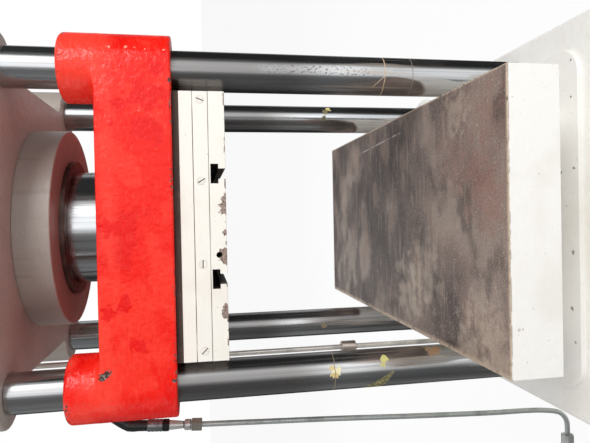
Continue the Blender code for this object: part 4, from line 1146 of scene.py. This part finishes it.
# Crosshead
def crosshead():
    body = prism("crosshead_body", casting_outline(), crosshead_low, crosshead_top, CASTING_EDGE_R)
    skirt_r, skirt_low = BOSS_R + BOSS_FLARE_R, crosshead_top - BOSS_SKIRT
    profile = [
        (0, boss_top), (BOSS_R, boss_top, BOSS_RIM_R), (BOSS_R, crosshead_top, BOSS_FLARE_R),
        (skirt_r, crosshead_top), (skirt_r, skirt_low), (0, skirt_low),
    ]
    for boss in at_columns("boss", rounded(profile), BOSS_STEPS):
        clip = prism("boss_clip", casting_outline(-SKIN), skirt_low - BOSS_SKIRT, boss_top + OVERRUN)
        carve(boss, "INTERSECT", clip)
        carve(body, "UNION", boss)
    wiper_low = boss_top - WIPER_SEAT
    bush_r, wiper_r = COLUMN_R + BUSH_WALL + GAP, COLUMN_R + WIPER_WALL + GAP
    bore = [
        (0, boss_top + OVERRUN), (wiper_r, boss_top + OVERRUN), (wiper_r, wiper_low),
        (bush_r, wiper_low), (bush_r, crosshead_low - OVERRUN), (0, crosshead_low - OVERRUN),
    ]
    recess = disc(RAM_R + GAP, crosshead_top - RAM_SEAT, crosshead_top + OVERRUN)
    carve(body, "DIFFERENCE", *at_columns("guide_bore", bore), lathe("ram_recess", recess))
    stand_in(body, "enamel", "crosshead", MOVING)


def plugs():
    """Slotted plugs at the ends of the heating plate's channels."""
    for count, angle in enumerate(PLUG_SLOT_ANGLES, 1):
        node = f"plug_{count}"
        at = (middle(node).x, low(node).y, middle(node).z)
        depth = low(node).y - high(node).y
        profile = rounded([(0, 0), (PLUG_R, 0, FINE_EDGE), (PLUG_R, depth), (0, depth)], EASED_ARC)
        plug = lathe(node + "_fine", profile, SMALL_STEPS, at, FORWARDS)
        reach, half = 2 * PLUG_R, PLUG_SLOT / 2
        lowest, highest = (-reach, -OVERRUN, -half), (reach, PLUG_SLOT_DEPTH, half)
        slot = block("plug_slot", lowest, highest, PLUG_SLOT_EDGE, 1)
        slot.data.transform(Matrix.Translation(at) @ Matrix.Rotation(radians(angle), 4, "Y"))
        carve(plug, "DIFFERENCE", slot)
        stand_in(plug, "plug", node, MOVING)


# Hydraulic line
def ferrule_profile():
    """A swaged sleeve: rings pressed into it, and a rolled edge."""
    rim = FERRULE_R - TURNED_EDGE
    points = [(0, FERRULE_LENGTH), (rim, FERRULE_LENGTH), (FERRULE_R, FERRULE_LENGTH - TURNED_EDGE)]
    pitch = FERRULE_LENGTH / (FERRULE_CRIMPS + 1)
    for count in range(FERRULE_CRIMPS, 0, -1):
        for share, depth in CRIMP_SHARES:
            points.append((FERRULE_R - CRIMP_DEPTH * depth, (count + share) * pitch))
    return points + [(FERRULE_R, TURNED_EDGE), (rim, 0), (0, 0)]


def hydraulic_line():
    lean = Matrix.Rotation(LINE_LEAN, 4, "Y")
    start = Vector((-LINE_X, 0, line_height))
    drop = lean @ Vector((0, 0, -1))
    coupling = [
        (0, COUPLING_LENGTH), (COUPLING_TOP_R, COUPLING_LENGTH, TURNED_EDGE),
        (COUPLING_LOW_R, 0, COUPLING_EDGE), (0, 0),
    ]
    collar = [(0, COLLAR_LENGTH), (COLLAR_R, COLLAR_LENGTH, COLLAR_EDGE), (COLLAR_R, 0, COLLAR_EDGE), (0, 0)]
    below = GAP
    for name, node, look, length, shape in (
        ("ferrule_fine", "hose_ferrule", "dark_fitting", FERRULE_LENGTH, ferrule_profile()),
        ("swivel_nut_fine", "hose_swivel_nut", "swivel", SWIVEL_LENGTH, SWIVEL_FLATS),
        ("coupling_fine", "coupling_body", "coupling", COUPLING_LENGTH, rounded(coupling, EASED_ARC)),
        ("collar_fine", "coupling_collar", "coupling", COLLAR_LENGTH, rounded(collar, ROUND_ARC)),
        ("pipe_nut_fine", "pipe_nut", "pipe_nut", PIPE_NUT_LENGTH, PIPE_NUT_FLATS),
    ):
        at = start + drop * (below + length)
        if isinstance(shape, float):
            fitting = hexagon(name, shape, length, LINE_NUT_CHAMFER, at, lean)
        else:
            fitting = lathe(name, shape, SMALL_STEPS, at, lean)
        stand_in(fitting, look, node)
        below += length + GAP
    end = start + drop * below
    knots = [
        (end.x - PIPE_RUN * run_share, 0, end.z - PIPE_DROP * drop_share)
        for run_share, drop_share in PIPE_ROUTE_SHARES
    ]
    pipe = sweep("pipe_fine", smooth_route(knots, ROUTE_POINTS), PIPE_R)
    stand_in(pipe, "zinc", "pressure_pipe")
    for node, flats in (("pipe_union", UNION_FLATS), ("port_adaptor", PORT_FLATS)):
        at = (high(node).x, 0, middle(node).z)
        length = high(node).x - low(node).x
        nut = hexagon(node + "_fine", flats, length, LINE_NUT_CHAMFER, at, LEFTWARDS)
        stand_in(nut, "zinc", node)
    top_x, port_height = high("hose_ferrule_top").x, middle("hose_ferrule_top").z
    at = (top_x, 0, port_height)
    sleeve = lathe("ferrule_top_fine", ferrule_profile(), SMALL_STEPS, at, LEFTWARDS)
    stand_in(sleeve, "dark_fitting", "hose_ferrule_top")
    hose_x = top_x - FERRULE_LENGTH - GAP
    lead = 2 * HOSE_R
    run, fall = LINE_X + hose_x, port_height - line_height
    knots = [
        (hose_x, 0, port_height), (hose_x - lead, 0, port_height),
        *[(hose_x - run * across, 0, port_height - fall * down) for across, down in HOSE_ROUTE_SHARES],
        (-LINE_X + lead * sin(LINE_LEAN), 0, line_height + lead * cos(LINE_LEAN)),
        (-LINE_X, 0, line_height),
    ]
    route = smooth_route(knots, ROUTE_POINTS)
    hose = sweep("hose_fine", route, HOSE_R)
    stand_in(hose, "hose", "hose")


# Limit rod
def limit_rod():
    at = (-ROD_X, 0, 0)
    bottom, top = levels("limit_rod")
    profile = [(0, top), (ROD_R, top, TURNED_EDGE), (ROD_R, bottom, TURNED_EDGE), (0, bottom)]
    rod = lathe("limit_rod_fine", rounded(profile, EASED_ARC), SMALL_STEPS, at)
    stand_in(rod, "rod", "limit_rod")
    node = "stop_collar"
    shape = ring(ROD_R + GAP, STOP_R, *levels(node), STOP_EDGE)
    collar = lathe("stop_collar_fine", shape, SMALL_STEPS, at)
    spot = (-ROD_X, -STOP_R + SCREW_SINK, middle(node).z)
    socket = hexagon("set_screw_socket", SOCKET_FLATS, OVERRUN, SOCKET_CHAMFER, spot, FORWARDS)
    carve(collar, "DIFFERENCE", socket)
    stand_in(collar, "collar", node)
    for node, look, hole_low in (
        ("limit_rod_bracket_low", "base", bottom - GAP),
        ("limit_rod_bracket_high", "crown", low("limit_rod_bracket_high").z - OVERRUN),
    ):
        bracket = block(node + "_fine", *BOX[node], BRACKET_EDGE)
        hole = disc(ROD_R + GAP, hole_low, high(node).z + OVERRUN)
        carve(bracket, "DIFFERENCE", lathe("rod_hole", hole, SMALL_STEPS, at))
        for side in (-1, 1):
            spot = (low(node).x + SCREW_SINK, side * SCREW_OUT, middle(node).z)
            sink = lathe("screw_sink", disc(SCREW_R, 0, OVERRUN), SMALL_STEPS, spot, LEFTWARDS)
            carve(bracket, "DIFFERENCE", sink)
        stand_in(bracket, look, node)


def dress_solids():
    """Finishes for the solids that stay as they are."""
    plates = dict.fromkeys(("backing_plate", "heating_plate", "tslot_plate"), "platen")
    inner = {"insulation_board": "board", "piston": "machined", "piston_seal": "seal"}
    for node, look in (plates | inner).items():
        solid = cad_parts[node]
        for slot in solid.material_slots:
            slot.material = LOOKS[look][0]
        if not solid.material_slots:
            solid.data.materials.append(LOOKS[look][0])


# Studio
WORLD_LEVEL = 0.49
WORLD_COLOUR = (0.97, 0.98, 1.0, 1)
WHITE = (1, 1, 1, 1)
FLOOR_SIZE = 240
FLOOR_Z = -0.0006
FLOOR_COLOUR = (0.90, 0.90, 0.90, 1)
FLOOR_SEEN_SHARE = 0.90
LAMP_TARGET = Vector((0, 0, 1.1))
# Each lamp's name, place, size and power
LAMPS = (
    ("key", (2.3, -2.9, 3.1), 1.6, 106),
    ("fill", (-3.2, -2.4, 2.2), 2.2, 25),
    ("rear", (-1.0, 3.6, 3.2), 2.4, 60),
)
# Bearings from the front, towards +X, and how bright the room is there
BANDS = (
    (-180, 0.04), (-124, 0.04), (-108, 0.30), (-84, 0.28), (-66, 0.16), (-26, 0.20), (-12, 0.40),
    (0, 1.80), (42, 2.00), (53, 0.30), (64, 0.05), (122, 0.04), (136, 0.60), (158, 0.60),
    (170, 0.04), (180, 0.04),
)
BAND_TINT = (0.94, 0.97, 1)
DRUM_R = 3.4
DRUM_TOP = 4.6
DRUM_INNER_R = 0.75
FLOOR_BANDS = 0.70
CAMERA_AT = (0.0151, -1.1940, 1.2783)
LENS = 32.70
NEAREST = 0.01
YAW, PITCH, ROLL = radians(-0.606), radians(10.068), radians(1.262)


def backdrop(owner, output, lit, seen, seen_share=1.0):
    """Two shaders: one as light and for shadows, one for the camera, for gloss and glass."""
    owner.use_nodes = True
    tree = owner.node_tree
    tree.nodes.clear()
    path = add_node(tree, "LightPath").outputs
    share = path["Is Camera Ray"]
    for name in ("Is Glossy Ray", "Is Transmission Ray"):
        share = add_math(tree, "MAXIMUM", share, path[name])
    share = add_math(tree, "MULTIPLY", share, seen_share)
    shaders = [add_node(tree, kind, inputs).outputs[0] for kind, inputs in (lit, seen)]
    mix = add_node(tree, "MixShader", {0: share, 1: shaders[0], 2: shaders[1]})
    add_node(tree, output, {0: mix.outputs[0]})


def studio():
    world = bpy.data.worlds.new("studio")
    bpy.context.scene.world = world
    soft = ("Background", {"Color": WORLD_COLOUR, "Strength": WORLD_LEVEL})
    white = ("Background", {"Color": WHITE, "Strength": 1.0})
    backdrop(world, "OutputWorld", soft, white)
    bpy.ops.mesh.primitive_plane_add(size=FLOOR_SIZE, location=(0, 0, FLOOR_Z))
    floor = bpy.context.object
    floor.name = "floor"
    pale = bpy.data.materials.new("pale_floor")
    matte = ("BsdfDiffuse", {"Color": FLOOR_COLOUR})
    glow = ("Emission", {"Strength": 1.0})
    backdrop(pale, "OutputMaterial", matte, glow, FLOOR_SEEN_SHARE)
    floor.data.materials.append(pale)
    for name, at, size, power in LAMPS:
        data = bpy.data.lights.new(name, "AREA")
        data.shape = "SQUARE"
        data.size = size
        data.energy = power
        lamp = bpy.data.objects.new(name, data)
        bpy.context.scene.collection.objects.link(lamp)
        lamp.location = at
        lamp.rotation_euler = (LAMP_TARGET - Vector(at)).to_track_quat("-Z", "Y").to_euler()


def banded_drum():
    """Dark and light bands round the room and on its floor, seen only in gloss."""
    bands = bpy.data.materials.new("reflected_bands")
    bands.use_nodes = True
    tree = bands.node_tree
    tree.nodes.clear()
    place = add_node(tree, "TexCoord").outputs["Object"]
    parts = add_node(tree, "SeparateXYZ", {0: place}).outputs
    bearing = add_math(tree, "ARCTAN2", parts["X"], add_math(tree, "MULTIPLY", parts["Y"], -1))
    turn = add_math(tree, "MULTIPLY_ADD", bearing, 1 / (2 * pi), 0.5)
    ramp = add_node(tree, "ValToRGB", {0: turn})
    stops = ramp.color_ramp.elements
    for angle, _ in BANDS[1:-1]:
        stops.new(angle / 360 + 0.5)
    for stop, (_, level) in zip(stops, BANDS):
        stop.color = (*(level * share for share in BAND_TINT), 1)
    glow = add_node(tree, "Emission", {"Color": ramp.outputs[0]})
    add_node(tree, "OutputMaterial", {0: glow.outputs[0]})
    dim = bands.copy()
    dim.node_tree.nodes["Emission"].inputs["Strength"].default_value = FLOOR_BANDS
    for name, profile, tone in (
        ("drum", [(DRUM_R, DRUM_TOP), (DRUM_R, 0.0)], bands),
        ("drum_floor", [(DRUM_R, 0.0), (DRUM_INNER_R, 0.0)], dim),
    ):
        piece = lathe(name, profile, closed=False)
        piece.data.materials.append(tone)
        for rays in ("camera", "diffuse", "shadow", "transmission"):
            setattr(piece, "visible_" + rays, False)


def camera():
    """The photograph lies on its side: its right is down in the world, and its top is +X."""
    ahead = Vector((sin(YAW) * cos(PITCH), cos(YAW) * cos(PITCH), -sin(PITCH)))
    level = Vector((cos(YAW), -sin(YAW), 0))
    plumb = Vector((-sin(YAW) * sin(PITCH), -cos(YAW) * sin(PITCH), -cos(PITCH)))
    across = cos(ROLL) * level + sin(ROLL) * plumb
    down = cos(ROLL) * plumb - sin(ROLL) * level
    data = bpy.data.cameras.new("camera")
    data.lens = LENS
    data.clip_start = NEAREST
    view = bpy.data.objects.new("camera", data)
    bpy.context.scene.collection.objects.link(view)
    axes = Matrix((down, across, -ahead)).transposed().to_4x4()
    view.matrix_world = Matrix.Translation(CAMERA_AT) @ axes
    bpy.context.scene.camera = view
    bpy.context.scene.view_settings.view_transform = "Standard"


camera()
studio()
banded_drum()
base()
bed()
columns()
crown()
cylinder()
ram()
crosshead()
plugs()
hydraulic_line()
limit_rod()
dress_solids()
